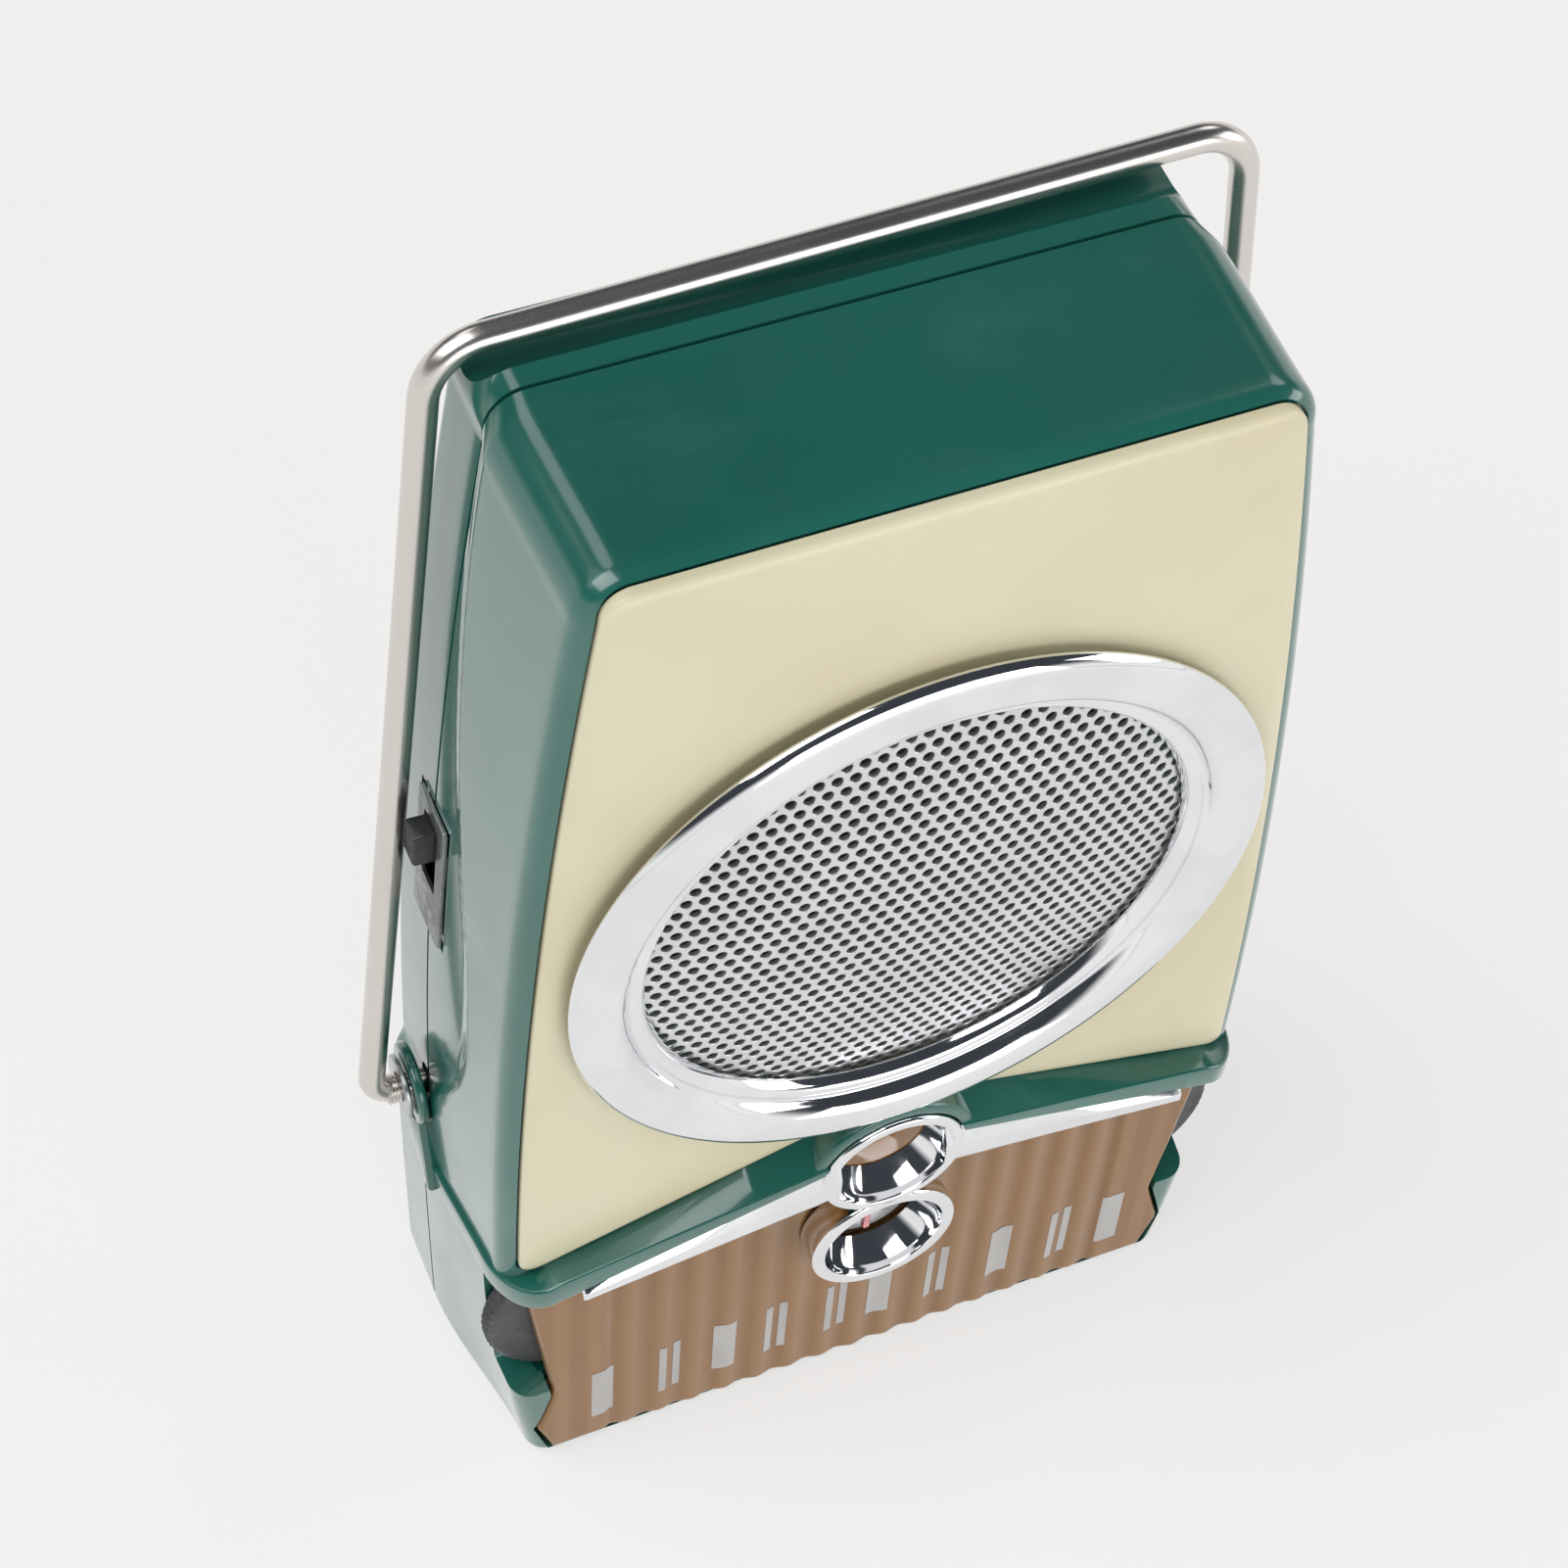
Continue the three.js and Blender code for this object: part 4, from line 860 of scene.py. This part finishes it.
cut(plate, [slide_slot])
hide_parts("switch_plate")
bm = bmesh.new()
rows = []
for x, grow in ((-2.4, -0.35), (-2.3, -0.12), (-2.1, 0), (0.0, 0), (3.1, 0), (3.2, -0.1)):
    ring_points = []
    knob_line = rounded_path([(-1.4, 2.3, 0.4), (1.4, 2.3, 0.4), (1.4, 6.4, 0.4), (-1.4, 6.4, 0.4)])
    for y, z in offset(knob_line, -grow):
        ring_points.append((x, y, z))
    rows.append(ring_points)
add_loft(bm, rows)
for k in range(5):
    z = 2.9 + 0.72 * k
    ridge = ((-2.3, -0.2), (-2.4, -0.12), (-2.4, 0.12), (-2.3, 0.2))
    add_loft(bm, [[(x, y, z + d) for x, d in ridge] for y in (-1.2, 1.2)])
leaning(bm)
knob = finish_mesh("slide_knob", bm, BLACK, "switch_knob")
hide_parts("switch_knob")

# ---------- rear: battery door and screws ----------
bm = bmesh.new()
door_line = rounded_path([(-26.8, 106.2, 1.1), (26.8, 106.2, 1.1), (26.8, 134.2, 1.1), (-26.8, 134.2, 1.1)],
                         steps=8)
rows = []
for k in range(7):
    a = math.pi / 2 * k / 6
    edge_row = offset(door_line, 0.4 * (1 - math.sin(a)))
    rows.append([(x, BACK_Y - 0.4 * (1 - math.cos(a)), z) for x, z in edge_row])
rows.append([(x, 30.1, z) for x, z in door_line])
add_loft(bm, rows)
door = finish_mesh("battery_cover", bm, GREEN, "battery_door")
cut(door, [prism(circle(36.2, 110.7, 5.0, 72), -7, 7, "yz")]
    + [prism([(-18, z), (18, z), (18, z + 0.7), (-18, z + 0.7)], 31.6, 35)
       for z in (119, 121.4, 123.8, 126.2, 128.6)])
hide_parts("battery_door")

for side, word in ((-1, "left"), (1, "right")):
    bm = bmesh.new()
    profile = rounded_path([(0, 31.7, 0), (2.4, 31.55, 0.35), (2.4, 30.3, 0), (1.2, 30.3, 0), (1.2, 17, 0),
                            (0, 17, 0)], steps=4)
    add_lathe(bm, profile, (side * SCREW_X, SCREW_Z), "y", 48)
    screw = finish_mesh(f"rear_screw_{word}", bm, STEEL, "case", 40)
    left, right, low, high = side * SCREW_X - 3, side * SCREW_X + 3, SCREW_Z - 0.4, SCREW_Z + 0.4
    cut(screw, [prism([(left, low), (right, low), (right, high), (left, high)], 31.0, 33)])
    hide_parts(f"case_screw_{word}")

# ---------- the pieces inside keep their CAD shape ----------
INSIDE = {"speaker_frame": STEEL, "speaker_cone": PAPER, "speaker_magnet": STEEL, "circuit_board": TAN,
          "tuning_capacitor": CREAM, "volume_control": STEEL, "ferrite_rod": FERRITE, "antenna_coil": COPPER,
          "battery": CAN, "battery_snap": BLACK, "battery_lead_red": RED, "battery_lead_black": BLACK,
          "dial_cord": BLACK, "switch_housing": BLACK}
BY_START = {"rod_clip": BLACK, "board_screw": STEEL, "if_can": STEEL, "audio_transformer": PAPER,
            "transistor": STEEL, "electrolytic": BLUE, "resistor": YELLOW}
for name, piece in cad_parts.items():
    if piece.hide_render:
        continue
    start = [m for s, m in BY_START.items() if name.startswith(s)]
    material = INSIDE.get(name) or start[0]
    for held in piece.material_slots:
        held.material = material

# ---------- floor, light and camera ----------
bm = bmesh.new()
bmesh.ops.create_grid(bm, x_segments=8, y_segments=8, size=3.0)
mesh = bpy.data.meshes.new("floor")
bm.to_mesh(mesh)
bm.free()
floor = bpy.data.objects.new("floor", mesh)
bpy.context.scene.collection.objects.link(floor)
paper = surface("floor_paper", (0.27, 0.268, 0.265), (0.25, 0.248, 0.245), (0.8, 0.9), scale=3, bump=0.0,
                specular=0.1)
paper_shader = paper.node_tree.nodes["Principled BSDF"]
paper_shader.inputs["Emission Color"].default_value = (1, 0.99, 0.98, 1)
paper_shader.inputs["Emission Strength"].default_value = 0.66
mesh.materials.append(paper)

world = bpy.data.worlds.new("studio")
bpy.context.scene.world = world
world.use_nodes = True
sky = world.node_tree
back = sky.nodes["Background"]
back.inputs["Strength"].default_value = 0.95
coords = sky.nodes.new("ShaderNodeTexCoord")
split = sky.nodes.new("ShaderNodeSeparateXYZ")
sky.links.new(coords.outputs["Generated"], split.inputs[0])
height = remap(sky, split.outputs["Z"], 0.05, 0.34, 0, 1)
colour = mixed(sky, height, (1.0, 0.995, 0.985), (0.05, 0.055, 0.065))
# Bright patches in a dark sky, for the chrome: direction, how narrow, how bright.
for facing, narrow, bright in (((0.62, 0.38, 0.68), 0.985, 2.2), ((-0.15, 0.62, 0.77), 0.988, 2.0),
                               ((-0.62, 0.30, 0.72), 0.95, 0.9)):
    spot = sky.nodes.new("ShaderNodeVectorMath")
    spot.operation = "DOT_PRODUCT"
    spot.inputs[1].default_value = Vector(facing).normalized()
    sky.links.new(coords.outputs["Generated"], spot.inputs[0])
    colour = mixed(sky, remap(sky, spot.outputs["Value"], narrow - 0.006, narrow + 0.004, 0, 1), colour,
                   (bright,) * 3)
sky.links.new(colour, back.inputs["Color"])


def light(name, place, aim, size, power, colour=(1, 1, 1)):
    data = bpy.data.lights.new(name, "AREA")
    data.shape = "RECTANGLE"
    data.size, data.size_y = size
    data.energy = power
    data.color = colour
    lamp = bpy.data.objects.new(name, data)
    lamp.location = place
    lamp.rotation_euler = (Vector(aim) - Vector(place)).to_track_quat("-Z", "Y").to_euler()
    bpy.context.scene.collection.objects.link(lamp)


light("key", (-0.75, -0.1, 1.5), (0, 0, 0.05), (1.5, 1.1), 19)
light("fill", (0.3, -1.6, 0.42), (0, 0, 0.05), (1.6, 0.7), 10)
light("side", (1.5, -0.5, 0.6), (0, 0, 0.05), (1.0, 0.6), 6)

camera_data = bpy.data.cameras.new("camera")
camera_data.lens = 81.37
camera_data.sensor_width = 36
camera_data.clip_start = 0.01
camera = bpy.data.objects.new("camera", camera_data)
right, up, back_way = (0.92301, -0.38171, 0.04857), (0.27844, 0.74968, 0.60038), (-0.26558, -0.54063, 0.79824)
place = (-0.092137, -0.173204, 0.344758)
camera.matrix_world = Matrix([[right[i], up[i], back_way[i], place[i]] for i in range(3)] + [[0, 0, 0, 1]])
bpy.context.scene.collection.objects.link(camera)
bpy.context.scene.camera = camera
bpy.context.scene.view_settings.view_transform = "Standard"
